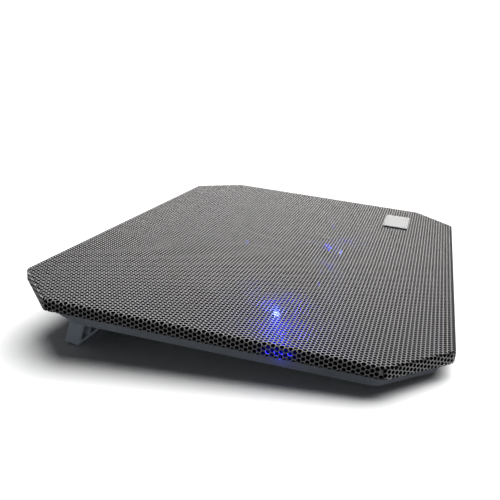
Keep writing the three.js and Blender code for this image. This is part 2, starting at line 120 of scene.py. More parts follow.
TRAY_LOW = pad_box("base_tray")[0].z
WALL = 2.0  # thickness of the tray
FAN = {side: pad_point(f"fan_spin_{side}") for side in SIDES}
PAD_T, PAD_R = 2.3, 7  # a rubber pad's thickness and radius
RUBBER_PAD = {}
for end in ("front", "rear"):
    for side in SIDES:
        corner, opposite = pad_box(f"rubber_pad_{end}_{side}")
        RUBBER_PAD[end, side] = ((corner.x + opposite.x) / 2, (corner.y + opposite.y) / 2)
ALONG_X = Matrix(((0, 0, 1, 0), (1, 0, 0, 0), (0, 1, 0, 0), (0, 0, 0, 1)))  # lays a solid's z axis along x


# ---------------------------------------------------------------- solids, as (vertices, faces)
def joined(*solids):
    vertices, faces = [], []
    for more_vertices, more_faces in solids:
        shift = len(vertices)
        vertices.extend(more_vertices)
        faces.extend(tuple(i + shift for i in face) for face in more_faces)
    return vertices, faces


def moved(solid, matrix):
    vertices, faces = solid
    return [tuple(matrix @ Vector(v)) for v in vertices], faces


def stack(rings):
    """A closed body through rings of points, lowest first, each anticlockwise from above."""
    count = len(rings[0])
    vertices = [tuple(p) for ring in rings for p in ring]
    faces = [tuple(range(count - 1, -1, -1))]
    for level in range(len(rings) - 1):
        start = level * count
        for i in range(count):
            j = (i + 1) % count
            faces.append((start + i, start + j, start + count + j, start + count + i))
    top = (len(rings) - 1) * count
    faces.append(tuple(range(top, top + count)))
    return vertices, faces


def at(x, y, z=0.0):
    return Matrix.Translation((x, y, z))


def about_z(angle):
    return Matrix.Rotation(angle, 4, "Z")


def rectangle(x0, y0, x1, y1):
    return [(x0, y0), (x1, y0), (x1, y1), (x0, y1)]


def prism(points, bottom, top):
    return stack([[(x, y, z) for x, y in points] for z in (bottom, top)])


def block(x0, y0, z0, x1, y1, z1):
    return prism(rectangle(x0, y0, x1, y1), z0, z1)


def around_x(x, half, y0, z0, y1, z1):
    """A block that reaches half to either side of x."""
    return block(x - half, y0, z0, x + half, y1, z1)


def circle(radius, sides, x=0.0, y=0.0, phase=0.0):
    turns = [phase + 2 * math.pi * k / sides for k in range(sides)]
    return [(x + radius * math.cos(a), y + radius * math.sin(a)) for a in turns]


def turned(profile, sides):
    """A body turned about z from its (radius, z) profile, which goes anticlockwise round the section."""
    vertices, faces = [], []
    ring_start = []
    for radius, z in profile:
        ring_start.append(len(vertices))
        if radius == 0:
            vertices.append((0, 0, z))
        else:
            vertices.extend((x, y, z) for x, y in circle(radius, sides))
    for here in range(len(profile)):
        there = (here + 1) % len(profile)
        a, b = ring_start[here], ring_start[there]
        for i in range(sides):
            j = (i + 1) % sides
            if profile[here][0] == 0 and profile[there][0] == 0:
                continue
            if profile[here][0] == 0:
                faces.append((a, b + j, b + i))
            elif profile[there][0] == 0:
                faces.append((a + i, a + j, b))
            else:
                faces.append((a + i, a + j, b + j, b + i))
    return vertices, faces


def rounded(corners, radius, steps=6):
    """A closed outline with each corner rounded. radius is one number or one for each corner."""
    points = []
    count = len(corners)
    for i, corner in enumerate(corners):
        r = radius[i] if isinstance(radius, (list, tuple)) else radius
        here = Vector(corner)
        before = (Vector(corners[i - 1]) - here).normalized()
        after = (Vector(corners[(i + 1) % count]) - here).normalized()
        if r <= 0:
            points.append(tuple(here))
            continue
        half = before.angle(after) / 2
        centre = here + (before + after).normalized() * (r / math.sin(half))
        start = here + before * (r / math.tan(half)) - centre
        end = here + after * (r / math.tan(half)) - centre
        sweep = start.angle_signed(end)
        for k in range(steps + 1):
            turn = Matrix.Rotation(-sweep * k / steps, 2)
            points.append(tuple(centre + turn @ start))
    return points


def octagon(inset, steps=6, extra_cut=0.0):
    """The pad's outline, drawn smaller by inset. extra_cut takes more off the two rear corners."""
    x, y = HALF_X - inset, HALF_Y - inset
    leg = CORNER_CUT - inset * (2 - math.sqrt(2))
    rear = leg + extra_cut
    corners = [
        (x, -y + leg), (x, y - rear), (x - rear, y), (-x + rear, y),
        (-x, y - rear), (-x, -y + leg), (-x + leg, -y), (x - leg, -y),
    ]
    return rounded(corners, CORNER_ROUND + max(0.0, inset - HEM), steps)


def outline_stack(levels):
    """A body with the pad's outline, through (inset, z, extra rear cut) levels, lowest first."""
    return stack([[(x, y, z) for x, y in octagon(inset, extra_cut=cut)] for inset, z, cut in levels])


# ---------------------------------------------------------------- objects
def scratch(solid, name="scratch"):
    mesh = bpy.data.meshes.new(name)
    mesh.from_pydata(solid[0], [], solid[1])
    mesh.validate()
    item = bpy.data.objects.new(name, mesh)
    bpy.context.scene.collection.objects.link(item)
    return item


def applied(item):
    """Replaces item's mesh with what its modifiers make of it."""
    graph = bpy.context.evaluated_depsgraph_get()
    made = bpy.data.meshes.new_from_object(item.evaluated_get(graph))
    made.name = item.data.name
    item.modifiers.clear()
    old = item.data
    item.data = made
    bpy.data.meshes.remove(old)
    return item


def boolean(item, solid, operation="DIFFERENCE"):
    """Cuts, joins or keeps what item shares with another solid."""
    tool = scratch(solid, "tool")
    modifier = item.modifiers.new("boolean", "BOOLEAN")
    modifier.solver = "MANIFOLD"
    modifier.operation = operation
    modifier.object = tool
    applied(item)
    bpy.data.meshes.remove(tool.data)
    return item


def shade(item, angle=32):
    """Smooth within the angle, with wide faces kept flat up to the bevels round them."""
    item.data.shade_smooth()
    item.data.set_sharp_from_angle(angle=math.radians(angle))
    # The pierced cover has no bevels, and its many small faces need no weighting.
    if not item.name.startswith("cover_strip"):
        modifier = item.modifiers.new("normals", "WEIGHTED_NORMAL")
        modifier.keep_sharp = True
        applied(item)
    return item


def bevel(item, width, segments=2, angle=30):
    modifier = item.modifiers.new("bevel", "BEVEL")
    modifier.width = width
    modifier.segments = segments
    modifier.limit_method = "ANGLE"
    modifier.angle_limit = math.radians(angle)
    modifier.harden_normals = False
    return applied(item)


def finish_piece(item, name, material, replaced, body="base", angle=32):
    """Puts a piece drawn in the pad's frame into the row frame, and hands it to its body."""
    item.name = name
    item.data.name = name
    item.data.transform(PAD)
    item.data.materials.clear()
    item.data.materials.append(material)
    shade(item, angle)
    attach(item, body)
    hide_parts(replaced)


# ---------------------------------------------------------------- materials
NOISE_ROUGHNESS = 0.55


class Tree:
    """A material's node tree, with short calls for the nodes used here."""

    def __init__(self, name, **values):
        self.material = bpy.data.materials.new(name)
        self.material.use_nodes = True
        self.nodes = self.material.node_tree.nodes
        self.links = self.material.node_tree.links
        self.shader = self.nodes["Principled BSDF"]
        for key, value in values.items():
            self.set(key, value)
        place = self.nodes.new("ShaderNodeTexCoord")
        self.place = place.outputs["Object"]

    def set(self, socket, value):
        """Sets one of the shader's inputs to a number, a colour or another node's output."""
        target = self.shader.inputs[socket.replace("_", " ").title().replace("Ior", "IOR")]
        if isinstance(value, bpy.types.NodeSocket):
            self.links.new(value, target)
        elif isinstance(value, tuple):
            target.default_value = (*value, 1.0)
        else:
            target.default_value = value

    def scaled(self, scale):
        """Places stretched by scale, so that a pattern can be finer along one axis."""
        node = self.nodes.new("ShaderNodeMapping")
        node.inputs["Scale"].default_value = scale
        self.links.new(self.place, node.inputs["Vector"])
        return node.outputs["Vector"]

    def noise(self, scale, detail=3.0, place=None):
        node = self.nodes.new("ShaderNodeTexNoise")
        node.inputs["Scale"].default_value = scale
        node.inputs["Detail"].default_value = detail
        node.inputs["Roughness"].default_value = NOISE_ROUGHNESS
        self.links.new(place or self.place, node.inputs["Vector"])
        return node.outputs["Fac"]

    def cells(self, scale):
        node = self.nodes.new("ShaderNodeTexVoronoi")
        node.inputs["Scale"].default_value = scale
        self.links.new(self.place, node.inputs["Vector"])
        return node.outputs["Distance"]

    def ramp(self, value, *stops):
        """Colours by value, between two stops; each is (position, colour)."""
        node = self.nodes.new("ShaderNodeValToRGB")
        for element, (position, colour) in zip(node.color_ramp.elements, stops):
            element.position = position
            element.color = (*colour, 1.0)
        self.links.new(value, node.inputs["Fac"])
        return node.outputs["Color"]

    def between(self, value, start, end):
        node = self.nodes.new("ShaderNodeMapRange")
        node.inputs["To Min"].default_value = start
        node.inputs["To Max"].default_value = end
        self.links.new(value, node.inputs["Value"])
        return node.outputs["Result"]

    def colour(self, value, dark, light):
        """The base colour runs between two (position, colour) stops."""
        self.set("base_color", self.ramp(value, dark, light))

    def rough(self, value, start, end):
        self.set("roughness", self.between(value, start, end))

    def bump(self, *layers):
        """Bump from (height, strength, distance in metres) layers."""
        normal = None
        for height, strength, distance in layers:
            node = self.nodes.new("ShaderNodeBump")
            node.inputs["Strength"].default_value = strength
            node.inputs["Distance"].default_value = distance
            self.links.new(height, node.inputs["Height"])
            if normal:
                self.links.new(normal, node.inputs["Normal"])
            normal = node.outputs["Normal"]
        self.links.new(normal, self.shader.inputs["Normal"])


def powder_coat():
    """Black powder coat: satin, with orange peel and fine flecks."""
    tree = Tree("powder_coat", specular_ior_level=0.35)
    tree.colour(tree.noise(900, 2), (0.35, (0.004, 0.004, 0.0045)), (0.7, (0.010, 0.010, 0.011)))
    tree.rough(tree.noise(240, 3), 0.26, 0.42)
    tree.bump((tree.noise(1400, 2), 0.12, 0.00003))
    return tree.material


def moulded(name, dark, light, grain=0.35, rough=(0.5, 0.7), gloss=0.45):
    """Moulded plastic with a spark-eroded grain, faint flow marks and uneven gloss."""
    tree = Tree(name, specular_ior_level=gloss)
    tree.colour(tree.noise(38, 5), (0.3, dark), (0.72, light))
    tree.rough(tree.noise(160, 4), *rough)
    tree.bump((tree.cells(2600), grain, 0.00004), (tree.noise(60, 3), 0.15, 0.0002))
    return tree.material


def rubber(name="rubber"):
    """Black rubber, dull and finely pitted."""
    tree = Tree(name, specular_ior_level=0.3)
    tree.colour(tree.noise(300, 4), (0.3, (0.010, 0.010, 0.010)), (0.75, (0.026, 0.026, 0.027)))
    tree.rough(tree.noise(500, 3), 0.72, 0.92)
    tree.bump((tree.noise(1800, 3), 0.35, 0.00005))
    return tree.material


def metal(name, dark, light, rough=(0.2, 0.38)):
    """Bare metal with drawing marks across its z axis."""
    tree = Tree(name, metallic=1.0)
    streaks = tree.noise(1.0, 4, place=tree.scaled((40, 40, 900)))
    tree.colour(streaks, (0.3, dark), (0.7, light))
    tree.rough(streaks, *rough)
    tree.bump((streaks, 0.08, 0.00002))
    return tree.material


def windings():
    """Enamelled copper wire, wound side by side."""
    tree = Tree("windings", metallic=0.85)
    wave = tree.nodes.new("ShaderNodeTexWave")
    wave.bands_direction = "Z"
    wave.inputs["Scale"].default_value = 900
    wave.inputs["Distortion"].default_value = 0.4
    tree.links.new(tree.place, wave.inputs["Vector"])
    turns = wave.outputs["Fac"]
    tree.colour(turns, (0.1, (0.10, 0.028, 0.010)), (0.8, (0.50, 0.19, 0.07)))
    tree.rough(turns, 0.5, 0.25)
    tree.bump((turns, 0.6, 0.0001))
    return tree.material


def circuit_board():
    """Green solder mask over copper tracks."""
    tree = Tree("circuit_board", specular_ior_level=0.6)
    brick = tree.nodes.new("ShaderNodeTexBrick")
    brick.inputs["Scale"].default_value = 130
    brick.inputs["Mortar Size"].default_value = 0.035
    brick.inputs["Color1"].default_value = (0.004, 0.052, 0.022, 1)
    brick.inputs["Color2"].default_value = (0.006, 0.070, 0.030, 1)
    brick.inputs["Mortar"].default_value = (0.022, 0.16, 0.07, 1)
    tree.links.new(tree.place, brick.inputs["Vector"])
    tree.set("base_color", brick.outputs["Color"])
    tree.rough(tree.noise(200, 2), 0.28, 0.4)
    tree.bump((brick.outputs["Fac"], 0.25, 0.00004))
    return tree.material


def led_glass(name, strength):
    """A lit LED: palest where the die is, blue through the rest of the dome."""
    tree = Tree(name, base_color=(0.05, 0.12, 0.9), roughness=0.12)
    facing = tree.nodes.new("ShaderNodeLayerWeight")
    facing.inputs["Blend"].default_value = 0.35
    die, dome = (0.0, (0.42, 0.55, 1.0)), (0.6, (0.02, 0.06, 1.0))
    tree.set("emission_color", tree.ramp(facing.outputs["Facing"], die, dome))
    tree.set("emission_strength", strength)
    return tree.material


def badge_plate():
    """A blank plate of satin white lacquer over brushed aluminium."""
    tree = Tree("badge_plate", specular_ior_level=0.35)
    brush = tree.noise(1.0, 4, place=tree.scaled((60, 2600, 200)))
    tree.colour(brush, (0.3, (0.39, 0.405, 0.41)), (0.7, (0.50, 0.515, 0.52)))
    tree.rough(brush, 0.42, 0.58)
    tree.bump((brush, 0.1, 0.00002))
    return tree.material


POWDER = powder_coat()
TRAY = moulded("tray_plastic", (0.030, 0.035, 0.041), (0.044, 0.050, 0.058))
FOOT = moulded("foot_plastic", (0.060, 0.070, 0.082), (0.082, 0.092, 0.105), grain=0.5)
FRAME = moulded("fan_plastic", (0.010, 0.011, 0.013), (0.018, 0.019, 0.022), 0.25, (0.35, 0.5))
BLADE = moulded("blade_plastic", (0.020, 0.024, 0.034), (0.034, 0.040, 0.054), 0.05, (0.16, 0.3))
# The rim's plastic is painted near black, far darker than the tray's own plastic: painted shade for the gap
# behind the cover's side.
RIM_PAINTED_SHADE = moulded("rim_plastic", (0.002, 0.002, 0.0022), (0.004, 0.004, 0.0045), 0.3, (0.75, 0.9), 0.05)
SOCKET_BLACK = moulded("socket_black", (0.008, 0.008, 0.009), (0.015, 0.015, 0.016), 0.1, (0.35, 0.5))
PLUG = moulded("plug_nylon", (0.60, 0.58, 0.52), (0.70, 0.68, 0.62), 0.1, (0.4, 0.55))
LEAD_RED = moulded("lead_red", (0.055, 0.006, 0.006), (0.080, 0.009, 0.008), 0.05, (0.3, 0.45))
LEAD = rubber("lead_sleeve")
RUBBER = rubber()
STEEL = metal("nickelled_steel", (0.42, 0.42, 0.43), (0.66, 0.66, 0.66))
BLACK_STEEL = metal("blackened_steel", (0.020, 0.020, 0.021), (0.045, 0.045, 0.047), (0.3, 0.45))
BRASS = metal("turned_brass", (0.42, 0.27, 0.08), (0.66, 0.47, 0.18))
COPPER = windings()
BOARD = circuit_board()
BADGE = badge_plate()
LED = led_glass("led_glass", 0.15)
LED_BRIGHT = {
    ("left", 3): led_glass("led_glass_near", 3.0),
    ("right", 4): led_glass("led_glass_far", 2.5),
}

# Each CAD node that stays visible takes the material of its slot.
SLOT_MATERIAL = {
    "mesh_paint": POWDER, "tray_plastic": TRAY, "fan_plastic": FRAME, "blade_plastic": BLADE,
    "foot_plastic": FOOT, "rubber": RUBBER, "steel": STEEL, "brass": BRASS, "copper": COPPER,
    "board": BOARD, "led": LED, "lead": LEAD, "badge": BADGE,
}
for subpart in frame["record"]["subparts"]:
    shown = NODES[subpart["node"]]
    shown.data.materials.clear()
    shown.data.materials.append(SLOT_MATERIAL[subpart["material_slot"]])


# ---------------------------------------------------------------- perforated cover
# The sheet is punched flat and then folded, so the pattern runs on over the folds. A place on the
# sheet is known by its distance past the start of the fold, measured along the middle of the sheet.
BEND = (FOLD - SHEET / 2) * math.pi / 2
SIDE = SKIRT - FOLD - HEM_ROUND
HEM_BEND = (HEM_ROUND - SHEET / 2) * math.pi / 2
FOLDED = BEND + SIDE + HEM_BEND + HEM - HEM_ROUND
HEM_EDGE = 1.7  # solid metal left along the raw edge
MIN_WEB = 0.1  # the least metal between two holes on the folds
CELL_SHIFT = 0.2  # keeps the cells' edges off the holes' corners


def arc(cx, cz, radius, start, end, steps):
    """Points of an arc in the (inset, z) section, angles in degrees from the +inset axis."""
    turns = [math.radians(start + (end - start) * k / steps) for k in range(steps + 1)]
    return [(cx + radius * math.cos(a), cz + radius * math.sin(a)) for a in turns]


def cover_shell():
    """The sheet before it is pierced: top, fold, side and hem, all one thickness."""
    foot = -SKIRT + HEM_ROUND
    outside = [(FOLD, 0), *arc(FOLD, -FOLD, FOLD, 90, 180, 5)[1:]]
    outside += [*arc(HEM_ROUND, foot, HEM_ROUND, 180, 270, 4), (HEM, -SKIRT)]
    inside = [(HEM, -SKIRT + SHEET), *arc(HEM_ROUND, foot, HEM_ROUND - SHEET, 270, 180, 4)]
    inside += arc(FOLD, -FOLD, FOLD - SHEET, 180, 90, 5)
    return outline_stack([(inset, z, 0) for inset, z in reversed(outside + inside)])


def section(past):
    """Where the sheet's outer face is at this distance: inset, z, and the slope of its normal."""
    if past <= 0:
        return FOLD - past, 0.0, math.pi / 2
    if past < BEND:
        slope = math.pi / 2 * (1 - past / BEND)
        return FOLD * (1 - math.cos(slope)), FOLD * (math.sin(slope) - 1), slope
    past -= BEND
    if past < SIDE:
        return 0.0, -FOLD - past, 0.0
    past -= SIDE
    if past < HEM_BEND:
        slope = -math.pi / 2 * past / HEM_BEND
        return HEM_ROUND * (1 - math.cos(slope)), HEM_ROUND * (1 + math.sin(slope)) - SKIRT, slope
    return HEM_ROUND + past - HEM_BEND, -SKIRT, -math.pi / 2


def outline_edges():
    """The eight edges: outward direction, distance from the middle, half its length, and its middle."""
    edges = []
    for k in range(8):
        turn = k * math.pi / 4
        outward = Vector((math.cos(turn), math.sin(turn)))
        if k % 2:
            half = CORNER_CUT / math.sqrt(2)
            x, y = HALF_X - CORNER_CUT / 2, HALF_Y - CORNER_CUT / 2
            middle = Vector((math.copysign(x, outward.x), math.copysign(y, outward.y)))
        else:
            half = (HALF_Y if k % 4 == 0 else HALF_X) - CORNER_CUT
            middle = Vector((outward.x * HALF_X, outward.y * HALF_Y))
        edges.append((outward, middle.dot(outward), half, middle))
    return edges


EDGES = outline_edges()
CORNER_RUN = CORNER_ROUND * math.tan(math.pi / 8)  # from a rounding's start to the sharp corner


def folded_spot(x, y):
    """Where a hole of the flat sheet ends up: its centre, its axis and the direction along the edge."""
    flat = Vector((x, y))
    past, edge = max(((flat.dot(e[0]) - e[1] + FOLD, e) for e in EDGES), key=lambda pair: pair[0])
    if past > FOLDED - HEM_EDGE:
        return None
    outward, _, half, middle = edge
    along = Vector((-outward.y, outward.x))
    if past <= 0:
        return Vector((x, y, 0)), Vector((0, 0, 1)), along.to_3d(), past
    inset, z, slope = section(past)
    run = (flat - middle).dot(along)
    over = abs(run) - (half - CORNER_RUN)
    if over > CORNER_RUN:
        return None
    if over > 0:
        side = math.copysign(1, run)
        centre = middle + along * side * (half - CORNER_RUN) - outward * CORNER_ROUND
        outward = Matrix.Rotation(side * over / CORNER_RUN * math.pi / 8, 2) @ outward
        along = Vector((-outward.y, outward.x))
        place = centre + outward * (CORNER_ROUND - inset)
    else:
        place = middle + along * run - outward * inset
    axis = outward.to_3d() * math.cos(slope) + Vector((0, 0, math.sin(slope)))
    return Vector((place.x, place.y, z)), axis, along.to_3d(), past


def punch(centre, axis, along):
    """A round punch through the sheet, along axis."""
    across = axis.cross(along)
    rings = []
    for depth in (-SHEET - 0.9, 0.6):
        middle = centre + axis * depth
        rings.append([middle + along * a + across * b for a, b in circle(HOLE_R, HOLE_SIDES)])
    return stack(rings)


def punches():
    """Every hole as (y, group, solid); holes of one group never touch each other."""
    holes, folded = [], []
    columns = int((HALF_X + FOLDED) / PITCH_X) + 2
    extra = int(FOLDED / PITCH_Y) + 2
    for row in range(-extra, ROWS + extra):
        y = (row - (ROWS - 1) / 2) * PITCH_Y
        for k in range(-columns, columns + 1):
            spot = folded_spot((k + 0.5 * (row % 2)) * PITCH_X, y)
            if spot is None:
                continue
            centre, axis, along, past = spot
            if past < -HOLE_R:
                ring = circle(HOLE_R, HOLE_SIDES, centre.x, centre.y)
                holes.append((centre.y, 0, prism(ring, -SHEET - 1, 0.5)))
                continue
            if any((centre - other).length < 2 * HOLE_R + MIN_WEB for other in folded):
                continue
            folded.append(centre)
            holes.append((centre.y, 1 + row % 2 + 2 * (k % 2), punch(centre, axis, along)))
    return holes


def planar_map(mesh):
    """Texture coordinates from above, so that a baked finish lies flat over thousands of holes."""
    layer = mesh.uv_layers.new(name="OFBake")
    corners = np.empty(len(mesh.loops), dtype=np.int32)
    mesh.loops.foreach_get("vertex_index", corners)
    points = np.empty(len(mesh.vertices) * 3)
    mesh.vertices.foreach_get("co", points)
    flat = points.reshape(-1, 3)[:, :2]
    flat = (flat - flat.min(0)) / (flat.max(0) - flat.min(0))
    layer.data.foreach_set("uv", flat[corners].astype(np.float32).ravel())


def split_in_cells(item):
    """Splits the sheet's broad faces into cells of a few holes, so that no pierced face is too large."""
    mesh = bmesh.new()
    mesh.from_mesh(item.data)
    for axis, step, reach in ((0, 4 * PITCH_X, HALF_X), (1, 4 * PITCH_Y, HALF_Y)):
        for k in range(-int(reach / step), int(reach / step) + 1):
            place = Vector((0, 0, 0))
            place[axis] = (k + CELL_SHIFT) * step
            normal = Vector((axis == 0, axis == 1, 0))
            everything = mesh.verts[:] + mesh.edges[:] + mesh.faces[:]
            bmesh.ops.bisect_plane(mesh, geom=everything, plane_co=place, plane_no=normal)
    mesh.to_mesh(item.data)
    mesh.free()


def build_cover():
    """The cover in strips that meet edge to edge, each pierced one group of holes at a time."""
    holes = punches()
    rows_each = ROWS // STRIPS
    past = 5  # how far the outer strips' tools reach past the sheet
    for strip in range(STRIPS):
        first = strip * rows_each
        y0 = (first - ROWS / 2) * PITCH_Y if strip else -HALF_Y - past
        y1 = (first + rows_each - ROWS / 2) * PITCH_Y if strip < STRIPS - 1 else HALF_Y + past
        item = scratch(cover_shell())
        boolean(item, around_x(0, HALF_X + past, y0, -SKIRT - past, y1, past), "INTERSECT")
        split_in_cells(item)
        for group in range(5):
            near = [hole for y, of, hole in holes if of == group and y0 - HOLE_R < y < y1 + HOLE_R]
            if near:
                boolean(item, joined(*near))
        planar_map(item.data)
        name = f"cover_strip_{strip + 1}"
        finish_piece(item, name, POWDER, "mesh_cover", angle=50)


# ---------------------------------------------------------------- tray
FLOOR = WALL + TRAY_LOW
WALL_HEAD = HEM + 0.4  # inset of the tray's side wall, just under the hem
WALL_FOOT = 8  # and at the floor
REAR_CUT = 9  # the rear corners are cut off this much more at the floor
GAP = 0.3  # between pieces
FAN_X, FAN_Y = FAN["right"].x, FAN["right"].y
RING_R, RING_BORE = 59, 54  # the fan's ring, outside and inside
EAR_R = 63  # from the fan's axis to its ear screws
EAR_TOP, EAR_T, EAR_RADIUS = -8, 2.4, 4.4
EAR_TURNS = [math.pi / 4 * n for n in (1, 3, 5, 7)]
HINGE = {side: pad_point(f"foot_fold_{side}") for side in SIDES}
HINGE_Y, HINGE_Z = HINGE["right"].y, HINGE["right"].z
POCKET_W = 51  # a foot's pocket in the tray
POCKET_FRONT = 59.3
POCKET_BACK = 100.1
FOOT_T = 9.6
POCKET_TOP = HINGE_Z + FOOT_T / 2 + GAP
PANEL_Y = pad_box("switch_slider")[1].y - 1.4
BOARD_LOW, BOARD_HIGH = pad_box("hub_board")
SOCKETS = [pad_middle(f"usb_socket_{n}") for n in (1, 2)]
SOCKET_LOW, SOCKET_HIGH = pad_box("usb_socket_1")
SWITCH = pad_middle("switch_body")
BOARD_SCREWS = [pad_middle(f"board_screw_{n}") for n in (1, 2)]
BAY_X, BAY_Y = (22, 98), (110, 124)  # the hub's bay in the tray's rear wall


def polar_slot(inner, outer, start, end, radius, steps=7):
    """An arc-shaped opening with rounded corners, as an outline about the fan's axis."""
    middle = (inner + outer) / 2
    flat = rounded(rectangle(start * middle, inner, end * middle, outer), radius, 3)
    points = []
    for i, (u, v) in enumerate(flat):
        next_u, next_v = flat[(i + 1) % len(flat)]
        pieces = steps if abs(next_u - u) > radius * 2 else 1
        for k in range(pieces):
            turn, reach = (u + (next_u - u) * k / pieces) / middle, v + (next_v - v) * k / pieces
            points.append((reach * math.cos(turn), reach * math.sin(turn)))
    return points[::-1]


def grille(x):
    """The openings of one air grille: three bands of eight slots."""
    cuts = []
    for inner, outer in ((12, 24.5), (27.5, 38), (41, 51)):
        for n in range(8):
            start = n * math.pi / 4 + 1.5 / inner
            end = (n + 1) * math.pi / 4 - 1.5 / inner
            slot = prism(polar_slot(inner, outer, start, end, 1.6), TRAY_LOW - 1, FLOOR + 0.5)
            cuts.append(moved(slot, at(x, FAN_Y)))
    return cuts


def groove_ring(x, y, radius, width, depth):
    """A ring-shaped tool that presses a groove into the tray's underside."""
    profile = [
        (radius, TRAY_LOW - 1), (radius + width, TRAY_LOW - 1),
        (radius + width * 0.8, TRAY_LOW + depth), (radius + width * 0.2, TRAY_LOW + depth),
    ]
    return moved(turned(profile, 96), at(x, y))


def long_groove(x0, x1, y, width, depth):
    outline = rounded(rectangle(x0, y - width / 2, x1, y + width / 2), width / 2 - 0.01, 5)
    return prism(outline, TRAY_LOW - 1, TRAY_LOW + depth)


def tray_wall(outer, inner):
    """A wall round the pad, between two sets of levels."""
    return boolean(scratch(outline_stack(outer)), outline_stack(inner))


def ear_spots(x):
    return [(x + EAR_R * math.cos(a), FAN_Y + EAR_R * math.sin(a)) for a in EAR_TURNS]


def post(x, y, foot, neck, top):
    """A screw post on the tray's floor, wider where it meets the floor."""
    profile = [(0, FLOOR - 0.5), (foot, FLOOR - 0.5), *neck, (neck[-1][0], top), (0, top)]
    return moved(turned(profile, 24), at(x, y))


def tray_additions():
    """What stands on the tray's floor: screw posts, the feet's pocket walls and the hub's bay."""
    added = []
    ear_neck = [(3.9, FLOOR + 0.6), (3.6, FLOOR + 3)]
    for x in (-FAN_X, FAN_X):
        added += [post(ex, ey, 4.6, ear_neck, EAR_TOP - EAR_T - GAP) for ex, ey in ear_spots(x)]
    added += [post(spot.x, spot.y, 3.9, [(3.2, FLOOR + 0.8)], BOARD_LOW.z - GAP) for spot in BOARD_SCREWS]
    for side in SIDES:
        x, half = HINGE[side].x, POCKET_W / 2 + 3
        corners = rectangle(x - half, POCKET_FRONT - WALL, x + half, POCKET_BACK + WALL)
        added.append(prism(rounded(corners, 1.5, 4), TRAY_LOW + 0.01, POCKET_TOP + 1.5))
    added.append(block(BAY_X[0], BAY_Y[1], TRAY_LOW + 0.01, BAY_X[1], PANEL_Y, -SKIRT - GAP))
    return added


def hub_openings():
    """The hub's bay and its openings for the two sockets and the switch, each with a shallow surround."""
    x0, x1 = BAY_X[0] + WALL, BAY_X[1] - WALL
    head = -SKIRT - GAP
    cuts = [block(x0, BAY_Y[0], FLOOR - 0.4, x1, PANEL_Y - WALL, head - 0.5),
            block(x0, BAY_Y[0], head - 1, x1, 132.5, -SKIRT + 1)]
    behind, sunk, past = PANEL_Y - WALL - 1, PANEL_Y - 0.5, PANEL_Y + 1
    for x in (SOCKETS[0].x, SOCKETS[1].x):
        half = (SOCKET_HIGH.x - SOCKET_LOW.x) / 2 + GAP
        cuts.append(around_x(x, half, behind, SOCKET_LOW.z - 0.2, past, SOCKET_HIGH.z + 0.2))
        cuts.append(around_x(x, half + 1, sunk, SOCKET_LOW.z - 1.1, past, SOCKET_HIGH.z + 0.7))
    cuts.append(around_x(SWITCH.x, 5.5, behind, SWITCH.z - 2, past, SWITCH.z + 2))
    cuts.append(around_x(SWITCH.x, 6.7, sunk, SWITCH.z - 3, past, SWITCH.z + 3))
    return cuts


def pocket_openings(side):
    """A foot's pocket, the fingertip notch in front of it and the pin's hole."""
    x, half = HINGE[side].x, POCKET_W / 2
    corners = rectangle(x - half, POCKET_FRONT, x + half, POCKET_BACK)
    pin_hole = moved(prism(circle(1.8, 24), x - half - 4, x + half + 4), ALONG_X)
    return [
        prism(rounded(corners, 0.8, 3), TRAY_LOW - 1, POCKET_TOP),
        around_x(x, 9, POCKET_FRONT - 6, TRAY_LOW - 1, POCKET_FRONT + 1, TRAY_LOW + 1.2),
        moved(pin_hole, at(0, HINGE_Y, HINGE_Z)),
    ]


def underside_marks():
    """Recesses for the rubber pads, a row of grooves and a shallow panel for a label."""
    cuts = [prism(circle(PAD_R + 0.4, 48, x, y), TRAY_LOW - 1, TRAY_LOW + 0.6)
            for x, y in RUBBER_PAD.values()]
    cuts += [long_groove(2 * n - 62, 62 - 2 * n, 4.6 * n - 112, 2.2, 0.6) for n in range(7)]
    cuts.append(prism(rounded(rectangle(-30, 88, 14, 116), 2, 5), TRAY_LOW - 1, TRAY_LOW + 0.35))
    return cuts


def build_tray():
    """The moulded base: side wall, floor with two grilles, foot pockets, bosses and the hub's bay."""
    neck = -SKIRT + SHEET + GAP
    edge = [(WALL_FOOT + 1 - math.sin(a), TRAY_LOW + 1 - math.cos(a), REAR_CUT) for a in (0, 0.4, 0.8, 1.2)]
    outer = [(WALL_FOOT, TRAY_LOW + 1, REAR_CUT), (WALL_HEAD, -SKIRT - GAP, 0), (WALL_HEAD, neck, 0)]
    inner = [(WALL_FOOT + WALL + 1.2, FLOOR, REAR_CUT), (WALL_FOOT + WALL, FLOOR + 0.8, REAR_CUT),
             (WALL_HEAD + WALL, -SKIRT, 0), (WALL_HEAD + WALL, neck + 1, 0)]
    tray = tray_wall([*edge, *outer], inner)
    for solid in tray_additions():
        boolean(tray, solid, "UNION")
    cuts = hub_openings()
    for side in SIDES:
        cuts += pocket_openings(side)
    for x in (-FAN_X, FAN_X):
        cuts.append(joined(*grille(x)))
        cuts.append(groove_ring(x, FAN_Y, RING_BORE, 1.6, 0.5))
        cuts += [prism(circle(1.7, 16, ex, ey), FLOOR + 0.5, 0) for ex, ey in ear_spots(x)]
    cuts += [prism(circle(1.5, 16, spot.x, spot.y), FLOOR + 0.5, 0) for spot in BOARD_SCREWS]
    for solid in cuts + underside_marks():
        boolean(tray, solid)
    bevel(tray, 0.22, 2, 40)
    finish_piece(tray, "tray_shell", TRAY, "base_tray", angle=40)


